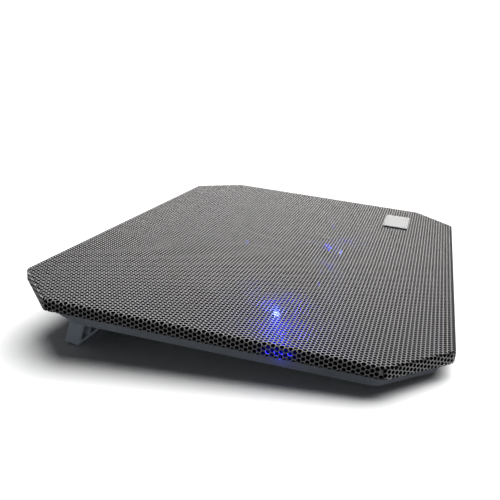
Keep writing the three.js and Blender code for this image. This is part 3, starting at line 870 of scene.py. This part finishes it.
def build_tray_rim():
    """The tray's upper rim, which stands behind the cover's side. Its plastic is painted near black and dull:
    painted shade for the narrow gap behind the cover.
    """
    neck = -SKIRT + SHEET + GAP + 0.02
    out = SHEET + GAP
    back = 2.6
    outer = [(out + 0.3, neck, 0), (out + 0.3, neck + 0.8, 0), (back, neck + 0.9, 0),
             (back, -FOLD - 0.9, 0), (out + 0.6, -out - 0.7, 0), (out + 0.8, -out, 0)]
    inner = [(WALL_HEAD + WALL, neck - 1, 0), (WALL_HEAD + WALL, neck + 1, 0),
             (back + 1.4, neck + 2.4, 0), (back + 1.4, 0, 0)]
    finish_piece(tray_wall(outer, inner), "tray_rim", RIM_PAINTED_SHADE, "base_tray", angle=40)


# ---------------------------------------------------------------- fans
HUB_R, BLADE_TIP, BLADES = 20, 52.4, 9  # the rotor's hub, the blades' reach and their number
FRAME_FOOT, FRAME_TOP = FLOOR + GAP, -2.5
LED_Z = -12.4
TUBE_R, TUBE_BORE = 5, 3.6  # the tube that holds the bearing
PIN_R = 1.5  # of the fans' shafts and the feet's pins
HUB_TOP, HUB_T = -3.6, 1.4
CORE_LOW, CORE_HIGH = -10.9, -6.9  # the motor's laminated core
FAN_AT = {side: at(FAN[side].x, FAN_Y) for side in SIDES}


def led_turn(side, n):
    """The direction of an LED from its fan's axis."""
    centre = pad_middle(f"fan_led_{side}_{n}") - FAN[side]
    return math.atan2(centre.y, centre.x)


def fan_ring():
    """The ring, with a shallow groove round its outside."""
    foot, top, waist = FRAME_FOOT, FRAME_TOP, RING_R - 1.1
    return turned([
        (RING_BORE, foot + 0.8), (RING_BORE + 0.8, foot), (RING_R - 0.5, foot), (RING_R, foot + 0.5),
        (RING_R, -9), (waist, -8.2), (waist, -4.6), (RING_R, -3.8),
        (RING_R, top - 0.4), (RING_R - 0.4, top),
        (RING_BORE + 1.9, top), (RING_BORE + 0.7, top - 0.5), (RING_BORE, top - 1.7),
    ], 128)


def motor_seat():
    """The plate under the motor, and the tube that holds its bearing."""
    foot, edge = FRAME_FOOT, HUB_R - 1
    plate = [(0, foot), (edge - 0.5, foot), (edge, foot + 0.5), (edge, foot + 2), (0, foot + 2)]
    tube = [(0, foot), (TUBE_R + 1, foot + 1.6), (TUBE_R, foot + 2.3),
            (TUBE_R, -6.6), (TUBE_R - 0.3, -6.4), (0, -6.4)]
    return [turned(plate, 64), turned(tube, 32)]


def strut():
    """An arm from the motor's plate to the ring, along x."""
    inner, outer = HUB_R - 4, RING_BORE + 1
    flat = [(inner, -2), (outer, -1.7), (outer, 1.7), (inner, 2)]
    return prism(rounded(flat, 0.4, 2), FRAME_FOOT, FRAME_FOOT + 1.9)


def ear():
    """A screw lug on the ring, along x."""
    eye = circle(EAR_RADIUS, 24, EAR_R)
    lug = [(RING_BORE + 2, -EAR_RADIUS), *eye[18:], *eye[:7], (RING_BORE + 2, EAR_RADIUS)]
    return prism(lug, EAR_TOP - EAR_T, EAR_TOP)


def fan_frame(side):
    item = scratch(fan_ring())
    added = motor_seat()
    added += [moved(strut(), about_z(n * math.pi / 2)) for n in range(4)]
    added += [moved(ear(), about_z(turn)) for turn in EAR_TURNS]
    for solid in added:
        boolean(item, solid, "UNION")
    screw_hole = prism(circle(1.8, 20, EAR_R), EAR_TOP - 4, EAR_TOP + 1)
    led_hole = moved(prism(circle(1.8, 20), RING_BORE - 1, RING_R + 1), at(0, 0, LED_Z) @ ALONG_X)
    cuts = [moved(screw_hole, about_z(turn)) for turn in EAR_TURNS]
    cuts += [moved(led_hole, about_z(led_turn(side, n))) for n in range(1, 5)]
    cuts.append(prism(circle(TUBE_BORE, 32), -12.6, 0))
    for solid in cuts:
        boolean(item, solid)
    bevel(item, 0.18, 2, 50)
    item.data.transform(FAN_AT[side])
    finish_piece(item, f"fan_frame_moulding_{side}", FRAME, f"fan_frame_{side}")


def blade():
    """A swept blade with a rounded nose and a thin tail, falling from its leading edge."""
    rings, chords = 16, 14
    root = HUB_R - 0.6
    high, low = -4.4, -11.4
    vertices, faces = [], []
    for i in range(rings + 1):
        out = i / rings
        radius = root + (BLADE_TIP - root) * out
        sweep = 0.42 * out ** 1.4 - 0.03 * math.sin(math.pi * out)
        for j in range(2 * chords):
            back = j if j <= chords else 2 * chords - j
            along = (1 - math.cos(math.pi * back / chords)) / 2
            thick = 1.25 * math.sqrt(along) * (1 - along) + 0.16 * along + 0.12
            camber = 0.5 * math.sin(math.pi * along)
            turn = along * (0.62 + 0.06 * out) + sweep
            z = high + (low - high) * along ** 0.85 + camber + (thick if j <= chords else -thick) * 0.5
            vertices.append((radius * math.cos(turn), radius * math.sin(turn), min(z, high + 0.5)))
    count = 2 * chords
    for i in range(rings):
        for j in range(count):
            k = (j + 1) % count
            faces.append((i * count + j, (i + 1) * count + j, (i + 1) * count + k, i * count + k))
    faces.append(tuple(range(count)))
    faces.append(tuple(range(rings * count + count - 1, rings * count - 1, -1)))
    return vertices, faces


def fan_rotor(side):
    inner, foot, under = HUB_R - 1.6, -12, HUB_TOP - HUB_T
    shoulder = [(HUB_R - 1.4 + 1.4 * math.cos(a), HUB_TOP - 1.4 + 1.4 * math.sin(a))
                for a in (0, 0.4, 0.8, 1.2, 1.57)]
    hub = [
        (0, under), (inner, under), (inner, foot), (HUB_R - 0.3, foot), (HUB_R, foot + 0.3),
        *shoulder, (15.2, HUB_TOP), (14.8, HUB_TOP - 0.35), (0, HUB_TOP - 0.35),
    ]
    item = scratch(turned(hub, 96))
    for n in range(BLADES):
        boolean(item, moved(blade(), about_z(n * 2 * math.pi / BLADES)), "UNION")
    boolean(item, prism(circle(PIN_R + GAP, 24), under - 1, HUB_TOP - 0.5))
    item.data.transform(FAN_AT[side])
    finish_piece(item, f"fan_blades_{side}", BLADE, f"fan_rotor_{side}", f"fan_{side}", 38)


def motor_core(quarters):
    """The laminated core: a ring with four teeth, each ending in a curved shoe."""
    core = scratch(turned(rectangle(TUBE_R + GAP, CORE_LOW, 7.5, CORE_HIGH), 48))
    shoe = prism(polar_slot(13.6, 15.6, -0.5, 0.5, 0.4), CORE_LOW, CORE_HIGH)
    for turn in quarters:
        boolean(core, moved(block(6, -1.6, CORE_LOW, 14, 1.6, CORE_HIGH), turn), "UNION")
        boolean(core, moved(shoe, turn), "UNION")
    return core


def motor_coils(quarters):
    """A coil round each of the core's teeth."""
    blocks = [moved(block(8.1, -3.4, CORE_LOW - 0.2, 12.8, 3.4, CORE_HIGH + 0.2), turn) for turn in quarters]
    coils = scratch(joined(*blocks))
    for turn in quarters:
        boolean(coils, moved(block(6, -1.7, CORE_LOW - 0.1, 14, 1.7, CORE_HIGH + 0.1), turn))
    return bevel(coils, 0.5, 3, 60)


def motor_board():
    """The motor's board, a ring with three components."""
    board = scratch(turned(rectangle(TUBE_R + GAP, -12.1, 15, -11.5), 64))
    parts = ((9, -1.5, 11, 1.5, -11.15), (-12, -1, -10, 1, -11.2), (-1, 9, 1, 10.2, -11.2))
    for x0, y0, x1, y1, top in parts:
        boolean(board, block(x0, y0, -11.6, x1, y1, top), "UNION")
    return board


def fan_motor(side):
    quarters = [about_z(math.pi / 4 + n * math.pi / 2) for n in range(4)]
    tip = HUB_TOP - 0.8
    shaft = [(0, -12), (PIN_R - 0.3, -12), (PIN_R, -11.7), (PIN_R, tip - 0.4), (PIN_R - 0.4, tip), (0, tip)]
    inner, outer = PIN_R + GAP, TUBE_BORE - GAP
    bearing = [(inner, -12), (inner + 0.3, -12.3), (outer - 0.3, -12.3), (outer, -12),
               (outer, -6.9), (outer - 0.3, -6.6), (inner + 0.3, -6.6), (inner, -6.9)]
    for item, name, material, slot, replaced, body in (
        (scratch(turned(shaft, 32)), "spindle", STEEL, "steel", "shaft", f"fan_{side}"),
        (scratch(turned(bearing, 48)), "bush", BRASS, "brass", "bearing", "base"),
        (motor_core(quarters), "core", STEEL, "copper", "stator", "base"),
        (motor_coils(quarters), "coils", COPPER, "copper", "stator", "base"),
        (motor_board(), "driver", BOARD, "board", "board", "base"),
    ):
        item.data.transform(FAN_AT[side])
        finish_piece(item, f"fan_{name}_{side}", material, f"fan_{replaced}_{side}", body)


def fan_led(side, n):
    """An LED pushed into the ring from outside, its dome just past the ring's bore."""
    tip, flange = RING_BORE - 0.6, RING_R + GAP
    dome = [(1.5 * math.cos(a), tip + 1.5 - 1.5 * math.sin(a)) for a in (1.2, 0.9, 0.6, 0.3, 0)]
    profile = [(0, tip), *dome, (1.5, flange), (2.1, flange), (2.1, flange + 0.8),
               (1.9, flange + 1), (0, flange + 1)]
    item = scratch(turned(profile, 24))
    item.data.transform(FAN_AT[side] @ about_z(led_turn(side, n)) @ at(0, 0, LED_Z) @ ALONG_X)
    material = LED_BRIGHT.get((side, n), LED)
    finish_piece(item, f"fan_lamp_{side}_{n}", material, f"fan_led_{side}_{n}")


def screw(name, replaced, head, shank, x, y, seat, length, material=STEEL):
    """A pan-head screw with a cross recess. seat is the height that its head rests on."""
    end = seat - length
    profile = [
        (0, end), (shank * 0.4, end), (shank, end + 1), (shank, seat),
        (head - 0.2, seat), (head, seat + 0.2), (head, seat + 0.7),
        (head * 0.85, seat + 1.25), (head * 0.55, seat + 1.65), (0, seat + 1.8),
    ]
    item = scratch(turned(profile, 32))
    bar = block(-head * 0.52, -0.28, seat + 0.7, head * 0.52, 0.28, seat + 3)
    for turn in (0.6, 0.6 + math.pi / 2):
        boolean(item, moved(bar, about_z(turn)))
    item.data.transform(at(x, y))
    finish_piece(item, name, material, replaced)


def build_fans():
    for side in SIDES:
        fan_frame(side)
        fan_rotor(side)
        fan_motor(side)
        for n, (x, y) in enumerate(ear_spots(FAN[side].x), 1):
            fan_led(side, n)
            names = f"ear_screw_{side}_{n}", f"fan_screw_{side}_{n}"
            screw(*names, 3, 1.3, x, y, EAR_TOP + GAP, 7, BLACK_STEEL)


# ---------------------------------------------------------------- folding feet
FOOT_W, FOOT_L = 46, 30.7  # its length is from the pin to the end
FOOT_END_SLOPE = -0.06  # of the foot's end, from front to back
FOOT_LEAN = math.radians(14.2)  # from the pad's upright, at rest
RIB_PITCH = 10.6


def foot_leg(side):
    """A slab, round at its pin, with four pockets between the ribs of its front face."""
    half = FOOT_T / 2
    turns = [k * math.pi / 16 for k in range(17)]
    side_view = [(half * math.cos(a), half * math.sin(a)) for a in turns]
    side_view += [(-half, -FOOT_L - half * FOOT_END_SLOPE), (half, -FOOT_L + half * FOOT_END_SLOPE)]
    item = scratch(moved(prism(side_view, -FOOT_W / 2, FOOT_W / 2), ALONG_X))
    boolean(item, moved(prism(circle(PIN_R + GAP, 24), -FOOT_W, FOOT_W), ALONG_X))
    for n in range(4):
        x0 = -FOOT_W / 2 + 2.6 + n * RIB_PITCH
        pocket = rounded(rectangle(x0, -27.4, x0 + 9, -6.2), 1.2, 3)
        boolean(item, moved(prism(pocket, half - 6, half + 1), Matrix.Rotation(math.pi / 2, 4, "X")))
    bevel(item, 0.55, 3, 40)
    item.data.transform(at(HINGE[side].x, HINGE_Y, HINGE_Z) @ Matrix.Rotation(FOOT_LEAN, 4, "X"))
    finish_piece(item, f"foot_leg_{side}", FOOT, f"foot_{side}", f"foot_{side}", 40)


def ground_z(side, y):
    """The height of the ground under the tilted pad, which stands on its front rubber pads."""
    front = RUBBER_PAD["front", side][1] - PAD_R
    return TRAY_LOW - GAP - PAD_T - math.tan(TILT) * (y - front)


def foot_sole(side):
    """A wedge of rubber between the foot's end and the ground, with grooves across it."""
    across = Vector((math.cos(FOOT_LEAN), math.sin(FOOT_LEAN)))
    down = Vector((math.sin(FOOT_LEAN), -math.cos(FOOT_LEAN)))
    reach = FOOT_T / 2 - 1.6
    front, back = [
        Vector((HINGE_Y, HINGE_Z)) + across * offset + down * (FOOT_L - offset * FOOT_END_SLOPE + GAP)
        for offset in (-reach, reach)
    ]
    y0, y1 = front.x + 0.2, back.x + 0.3
    wedge = [front, (y0, ground_z(side, y0)), (y1, ground_z(side, y1)), back]
    low, high = pad_box(f"foot_sole_{side}")
    item = scratch(moved(prism(wedge, low.x, high.x), ALONG_X))
    bottom = ground_z(side, back.x)
    for n in range(9):
        x = low.x + 4 + 4 * n
        boolean(item, around_x(x, 0.5, front.x - 3, bottom - 3, back.x + 3, bottom + 0.45))
    bevel(item, 0.15, 2, 40)
    finish_piece(item, f"foot_tread_{side}", RUBBER, f"foot_sole_{side}", f"foot_{side}", 40)


def foot_pin(side):
    low, high = [corner.x for corner in pad_box(f"foot_pin_{side}")]
    profile = [(0, low), (PIN_R - 0.3, low), (PIN_R, low + 0.3), (PIN_R, high - 0.3), (PIN_R - 0.3, high),
               (0, high)]
    item = scratch(moved(turned(profile, 32), at(0, HINGE_Y, HINGE_Z) @ ALONG_X))
    finish_piece(item, f"foot_axle_{side}", STEEL, f"foot_pin_{side}")


def build_rubber_pads():
    """Four round pads under the tray, each with a dished middle and a groove round it."""
    bottom, top = TRAY_LOW - GAP - PAD_T, TRAY_LOW - GAP
    edge = [(PAD_R - 0.8 + 0.8 * math.sin(a), bottom + 0.8 - 0.8 * math.cos(a)) for a in (0, 0.5, 1.0, 1.57)]
    profile = [
        (0, bottom + 0.3), (3.6, bottom + 0.3), (4.0, bottom), (5.2, bottom), (5.3, bottom + 0.25),
        (5.6, bottom + 0.25), (5.7, bottom), *edge, (PAD_R, top), (0, top),
    ]
    for (end, side), (x, y) in RUBBER_PAD.items():
        item = scratch(moved(turned(profile, 48), at(x, y)))
        finish_piece(item, f"rubber_button_{end}_{side}", RUBBER, f"rubber_pad_{end}_{side}")


# ---------------------------------------------------------------- badge, sockets, switch
def build_badge():
    """A blank plate with a fine line engraved round its face."""
    low, high = pad_box("badge")

    def outline(inset, radius):
        return rounded(rectangle(low.x + inset, low.y + inset, high.x - inset, high.y - inset), radius, 8)

    item = scratch(prism(outline(0, 1.8), low.z, high.z))
    line = scratch(prism(outline(1.5, 1.2), high.z - 0.18, high.z + 1))
    boolean(line, prism(outline(1.9, 0.9), high.z - 1, high.z + 2))
    groove = ([tuple(v.co) for v in line.data.vertices], [tuple(f.vertices) for f in line.data.polygons])
    bpy.data.meshes.remove(line.data)
    boolean(item, groove)
    bevel(item, 0.12, 2, 50)
    finish_piece(item, "badge_plate", BADGE, "badge")


def build_socket(n):
    """A type A socket: folded steel sleeve with four spring windows, tongue and contacts."""
    low, high = pad_box(f"usb_socket_{n}")
    x, wall = SOCKETS[n - 1].x, 0.4
    sleeve = scratch(block(*low, *high))
    boolean(sleeve, block(low.x + wall, low.y + 1, low.z + wall, high.x - wall, high.y + 1, high.z - wall))
    for offset in (-3, 3):
        boolean(sleeve, around_x(x + offset, 1.1, high.y - 8, low.z - 1, high.y - 3, high.z + 1))
    bevel(sleeve, 0.12, 2, 60)
    finish_piece(sleeve, f"socket_sleeve_{n}", STEEL, f"usb_socket_{n}")
    low, high = pad_box(f"usb_tongue_{n}")
    middle = (low.z + high.z) / 2
    tongue = scratch(around_x(x, 5.8, low.y, low.z, low.y + 2.5, high.z))
    boolean(tongue, around_x(x, 5.5, low.y + 1, middle + 0.1, high.y, middle + 1.9), "UNION")
    bevel(tongue, 0.15, 2, 60)
    finish_piece(tongue, f"socket_tongue_{n}", SOCKET_BLACK, f"usb_tongue_{n}")
    bars = [around_x(x + offset, 0.5, low.y + 2.6, middle - 0.08, high.y - 0.8, middle + 0.06)
            for offset in (-3.5, -1.1, 1.1, 3.5)]
    finish_piece(scratch(joined(*bars)), f"socket_contacts_{n}", BRASS, f"usb_tongue_{n}")


def build_switch():
    """The switch's housing, and its knob with three grip grooves."""
    low, high = pad_box("switch_body")
    body = scratch(block(*low, *high))
    boolean(body, block(low.x + 1.5, high.y - 3, low.z + 1.1, high.x - 1.5, high.y + 1, high.z - 1.1))
    bevel(body, 0.2, 2, 60)
    finish_piece(body, "switch_housing", FRAME, "switch_body")
    low, high = pad_box("switch_slider")
    middle = (low.x + high.x) / 2
    slider = scratch(block(low.x, low.y, low.z, high.x, low.y + 1.8, high.z))
    boolean(slider, around_x(middle, 2, low.y + 1, low.z, high.y, high.z), "UNION")
    for offset in (-1.05, 0, 1.05):
        boolean(slider, around_x(middle + offset, 0.25, high.y - 0.45, low.z - 1, high.y + 1, high.z + 1))
    bevel(slider, 0.12, 2, 60)
    finish_piece(slider, "switch_knob", BADGE, "switch_slider", "switch")


# ---------------------------------------------------------------- wiring and the hub's board
LEAD_TWIST = 9  # length of one full turn of a lead's two wires
# The leads' routes along the tray's floor, as in the CAD model.
LEAD_ROUTES = {
    "left": [
        (-62, 69, -13), (-56, 74, -13.2), (-40, 84, -13.3), (-20, 94, -13.3), (0, 101, -13.3), (16, 104, -13),
        (27, 105, -10), (33, 106, -7), (38, 109, -5.4), (38, 114.4, -5.3),
    ],
    "right": [
        (66, 69, -13), (68, 74, -13.2), (72, 84, -13.3), (76, 92, -13.3), (79, 99, -13), (81, 103, -10.4),
        (82, 106, -7.4), (82, 110, -5.6), (82, 114.4, -5.3),
    ],
}


def smooth_route(points, steps=10):
    """A Catmull-Rom curve through the points, with this many steps between each two."""
    route = []
    line = [Vector(p) for p in points]
    for i in range(len(line) - 1):
        p0, p1, p2 = line[max(i - 1, 0)], line[i], line[i + 1]
        p3 = line[min(i + 2, len(line) - 1)]
        for k in range(steps):
            t = k / steps
            spot = (p1 * 2 + (p2 - p0) * t + (p0 * 2 - p1 * 5 + p2 * 4 - p3) * t * t
                    + (p1 * 3 - p0 - p2 * 3 + p3) * t ** 3) / 2
            route.append(spot)
    route.append(line[-1])
    return route


def wire(route, radius, around, phase, sides=8):
    """One wire of a twisted pair: it winds round the route at a distance."""
    rings, passed = [], 0.0
    for i, place in enumerate(route):
        ahead = (route[min(i + 1, len(route) - 1)] - route[max(i - 1, 0)]).normalized()
        if i:
            passed += (place - route[i - 1]).length
        level = ahead.cross(Vector((0, 0, 1))).normalized()
        rise = level.cross(ahead).normalized()
        turn = phase + passed / LEAD_TWIST * 2 * math.pi
        middle = place + (level * math.cos(turn) + rise * math.sin(turn)) * around
        rings.append([middle + (level * a - rise * b) * radius for a, b in circle(1, sides)])
    return stack(rings)


def build_lead(side):
    """A fan's lead, two wires twisted together, and the plug on its end."""
    route = smooth_route(LEAD_ROUTES[side])
    for name, phase, material in (("live", 0.0, LEAD_RED), ("return", math.pi, LEAD)):
        item = scratch(wire(route, 0.45, 0.47, phase))
        finish_piece(item, f"fan_wire_{name}_{side}", material, f"fan_lead_{side}", angle=60)
    low, high = pad_box(f"fan_plug_{side}")
    x, y = (low.x + high.x) / 2, (low.y + high.y) / 2
    plug = scratch(block(*low, *high))
    boolean(plug, block(low.x + 1, low.y + 1.4, high.z - 1.2, high.x - 1, high.y - 1, high.z + 1))
    for sign in (-1, 1):
        boolean(plug, around_x(x + sign * 1.8, 0.8, low.y - 1, low.z + 1.1, low.y + 1.2, low.z + 2.7))
        boolean(plug, around_x(x + sign * 4, 0.4, y - 0.7, low.z - 1, y + 0.7, high.z + 1))
    bevel(plug, 0.15, 2, 60)
    finish_piece(plug, f"lead_plug_{side}", PLUG, f"fan_plug_{side}")


def build_hub_board():
    """The hub's board with a controller, small parts and two capacitors, held by two screws."""
    top = BOARD_HIGH.z
    seat = top + 0.02
    board = scratch(block(*BOARD_LOW, *BOARD_HIGH))
    for spot in BOARD_SCREWS:
        boolean(board, prism(circle(1.6, 24, spot.x, spot.y), BOARD_LOW.z - 1, top + 1))
    bevel(board, 0.1, 1, 60)
    finish_piece(board, "hub_circuit_board", BOARD, "hub_board")
    chips = [block(52, 114, top + 0.12, 60, 119, top + 1.2)]
    chips += [block(46 + 3 * n, 122.5, seat, 47.6 + 3 * n, 123.4, top + 0.6) for n in range(6)]
    chips += [block(66 + 2.6 * n, 112.6, seat, 67.4 + 2.6 * n, 113.6, top + 0.6) for n in range(3)]
    item = scratch(joined(*chips))
    bevel(item, 0.1, 2, 60)
    finish_piece(item, "hub_chips", SOCKET_BLACK, "hub_board")
    legs = [block(52.6 + 1.1 * n, y0, seat, 53 + 1.1 * n, y0 + 0.9, top + 0.35)
            for n in range(7) for y0 in (113.2, 118.9)]
    can = [
        (0, seat), (2.3, seat), (2.5, top + 0.3), (2.5, top + 0.9), (2.3, top + 1.1), (2.5, top + 1.3),
        (2.5, top + 3.4), (2.2, top + 3.7), (0, top + 3.7),
    ]
    cans = [moved(turned(can, 32), at(x, 126)) for x in (68, 75)]
    item = scratch(joined(*legs, *cans))
    finish_piece(item, "hub_capacitors", STEEL, "hub_board")
    for n, spot in enumerate(BOARD_SCREWS, 1):
        screw(f"hub_screw_{n}", f"board_screw_{n}", 2.4, 1.1, spot.x, spot.y, top + GAP, 5.5)


# ---------------------------------------------------------------- light from the LEDs
GLOW_COLOUR = (0.012, 0.02, 1.0)
HALO_COLOUR = (0.06, 0.16, 1.0)
GLOW_Z = -5.5
GLOW_REACH = 53.2  # from the fan's axis to an LED's tip
GLOW_FAR = 0.0005  # watts
# The two brightest LEDs' light, as it spreads in the space round them: a place and watts.
BRIGHT_GLOWS = {
    "inside": ((-108, -16, -6), 0.010),
    "outside": ((-132, -31, -6), 0.035),
    "halo": ((-141, -28, -3), 0.010),
    "edge": ((-166, -40, -7), 0.04),
    "leak": ((-190, -43, -13), 0.003),
    "sheen": ((-121, -23.7, 12), 0.013),
    "sheen_right": ((40, -37.5, 12), 0.0015),
    "right": ((26, -34, -6), 0.03),
}
PALE_GLOWS = ("led_halo", "led_sheen", "led_sheen_right")
for n, y in enumerate((-36, -40.5, -45, -49.5), 1):
    BRIGHT_GLOWS[f"fold_{n}"] = ((-188.6, y, -4.5), 0.005)


def glow(name, place, watts):
    """A blue lamp at a place in the pad's frame. It lights what is near and isn't seen itself."""
    lamp = bpy.data.lights.new(name, "POINT")
    lamp.energy = watts
    lamp.color = HALO_COLOUR if name in PALE_GLOWS else GLOW_COLOUR
    lamp.shadow_soft_size = 0.0015
    light = bpy.data.objects.new(name, lamp)
    light.location = PAD @ Vector(place)
    light.visible_camera = False
    bpy.context.scene.collection.objects.link(light)
    return light


def build_glow():
    """Small blue lamps under the mesh, at each LED's tip, and more round the two brightest."""
    lamps = []
    for side in SIDES:
        for n in range(1, 5):
            turn = led_turn(side, n)
            x, y = FAN[side].x + GLOW_REACH * math.cos(turn), FAN_Y + GLOW_REACH * math.sin(turn)
            lamps.append(glow(f"led_glow_{side}_{n}", (x, y, GLOW_Z), GLOW_FAR))
    for name, (place, watts) in BRIGHT_GLOWS.items():
        lamps.append(glow(f"led_{name}", place, watts))
    return lamps


build_cover()
build_tray()
build_tray_rim()
build_fans()
for side in SIDES:
    foot_leg(side)
    foot_sole(side)
    foot_pin(side)
build_rubber_pads()
build_badge()
for n in (1, 2):
    build_socket(n)
build_switch()
for side in SIDES:
    build_lead(side)
build_hub_board()
GLOWS = build_glow()

# ---------------------------------------------------------------- studio
AMBIENT = 0.08  # the studio's walls, as they light the scene
GLOSS_AMBIENT = 0.5  # and as glossy surfaces mirror them
# Each sun: the direction it shines in, strength, angular size in degrees, whether glossy surfaces
# mirror it, and what it lights.
SUNS = {
    "floor_light": ((-0.20, 0.32, -1.0), 3.9, 66, False, "floor"),
    "back_light": ((-1.0, -0.16, -0.75), 2.65, 54, True, "top"),
    "overhead": ((0.0, 0.0, -1.0), 6.0, 100, True, "mesh"),
    "left_sheen": ((0.70, -0.55, -0.52), 6.0, 60, True, "mesh"),
    "front_sheen": ((-0.68, 0.68, -0.28), 1.3, 50, True, "mesh"),
    "skirt_fill": ((0.93, -0.15, 0.31), 1.4, 60, True, "top"),
    "front_fill": ((-0.05, 0.89, 0.45), 3.5, 60, True, "top"),
    "camera_fill": ((0.80, 0.45, -0.12), 2.6, 40, False, "shell"),
    "side_fill": ((-0.85, -0.2, -0.15), 2.4, 50, False, "shell"),
    "rear_fill": ((-0.2, -1.0, -0.2), 2.0, 50, True, "outside"),
}
SUN_TINTS = {"back_light": (1.0, 0.97, 0.95)}
FLOOR_REACH = 8  # metres


def sun(name, towards, strength, size, glossy):
    lamp = bpy.data.lights.new(name, "SUN")
    lamp.energy = strength
    lamp.color = SUN_TINTS.get(name, (1, 1, 1))
    lamp.angle = math.radians(size)
    light = bpy.data.objects.new(name, lamp)
    light.rotation_euler = Vector(towards).to_track_quat("-Z", "Y").to_euler()
    light.visible_glossy = glossy
    bpy.context.scene.collection.objects.link(light)
    return light


def walls():
    """A white backdrop, whose light on the scene is turned down."""
    world = bpy.data.worlds.new("studio")
    bpy.context.scene.world = world
    world.use_nodes = True
    nodes, links = world.node_tree.nodes, world.node_tree.links
    ambient = nodes["Background"]
    ambient.inputs["Color"].default_value = (0.97, 0.98, 1.0, 1)
    backdrop = nodes.new("ShaderNodeBackground")
    backdrop.inputs["Color"].default_value = (1, 1, 1, 1)
    backdrop.inputs["Strength"].default_value = 1.0
    path = nodes.new("ShaderNodeLightPath")
    strength = nodes.new("ShaderNodeMapRange")
    strength.inputs["To Min"].default_value = AMBIENT
    strength.inputs["To Max"].default_value = GLOSS_AMBIENT
    links.new(path.outputs["Is Glossy Ray"], strength.inputs["Value"])
    links.new(strength.outputs["Result"], ambient.inputs["Strength"])
    mix = nodes.new("ShaderNodeMixShader")
    links.new(path.outputs["Is Camera Ray"], mix.inputs["Fac"])
    links.new(ambient.outputs["Background"], mix.inputs[1])
    links.new(backdrop.outputs["Background"], mix.inputs[2])
    links.new(mix.outputs["Shader"], nodes["World Output"].inputs["Surface"])


def paper_floor():
    corners = [(x, y, 0) for x, y in rectangle(-FLOOR_REACH, -FLOOR_REACH, FLOOR_REACH, FLOOR_REACH)]
    ground = scratch((corners, [(0, 1, 2, 3)]), "floor")
    paper = Tree("floor_paper", roughness=0.9, specular_ior_level=0.1)
    paper.colour(paper.noise(3, 2), (0.3, (0.90, 0.90, 0.90)), (0.7, (0.92, 0.92, 0.92)))
    ground.data.materials.append(paper.material)
    ground.visible_glossy = False
    return ground


def named(*starts):
    return [item for item in bpy.data.objects if item.name.startswith(starts)]


def lights(ground):
    """The suns and the LEDs' lamps, each lighting only some of the pieces."""
    top = named("cover_strip", "badge_plate")
    inner = named("fan_", "ear_screw", "lead_plug", "hub_")
    receivers = {
        "floor": ("INCLUDE", [ground]), "top": ("INCLUDE", top), "mesh": ("INCLUDE", named("cover_strip")),
        "shell": ("EXCLUDE", [ground, *top, *inner]), "outside": ("EXCLUDE", [ground, *inner]),
        "object": ("EXCLUDE", [ground]),
    }
    lit = {}
    for name, (state, items) in receivers.items():
        lit[name] = bpy.data.collections.new(f"lit_{name}")
        for k, item in enumerate(items):
            lit[name].objects.link(item)
            lit[name].collection_objects[k].light_linking.link_state = state
    for name, (towards, strength, size, glossy, what) in SUNS.items():
        sun(name, towards, strength, size, glossy).light_linking.receiver_collection = lit[what]
    for light in GLOWS:
        light.light_linking.receiver_collection = lit["object"]


def camera():
    """Stands to the left of the pad and a little in front of it, looking along its length.

    Its place and its three axes are in the pad's frame, as fitted to the pad's outline.
    """
    place = PAD @ Vector((-489.2, -105.6, 155.1))
    right = Vector((0.21965, -0.96952, 0.10857))
    down = Vector((-0.28580, -0.17035, -0.94303))
    forward = Vector((0.93278, 0.17611, -0.31450))
    turn = PAD.to_3x3().normalized()
    axes = Matrix((turn @ right, -(turn @ down), -(turn @ forward))).transposed()
    data = bpy.data.cameras.new("camera")
    data.sensor_width = 36
    data.lens = 44.37
    data.shift_x = -0.1011
    data.shift_y = 0.0116
    data.clip_start = 0.01
    view = bpy.data.objects.new("camera", data)
    view.matrix_world = Matrix.Translation(place) @ axes.to_4x4()
    bpy.context.scene.collection.objects.link(view)
    bpy.context.scene.camera = view


walls()
lights(paper_floor())
camera()
bpy.context.scene.view_settings.view_transform = "Standard"
bpy.context.scene.view_settings.look = "Medium High Contrast"
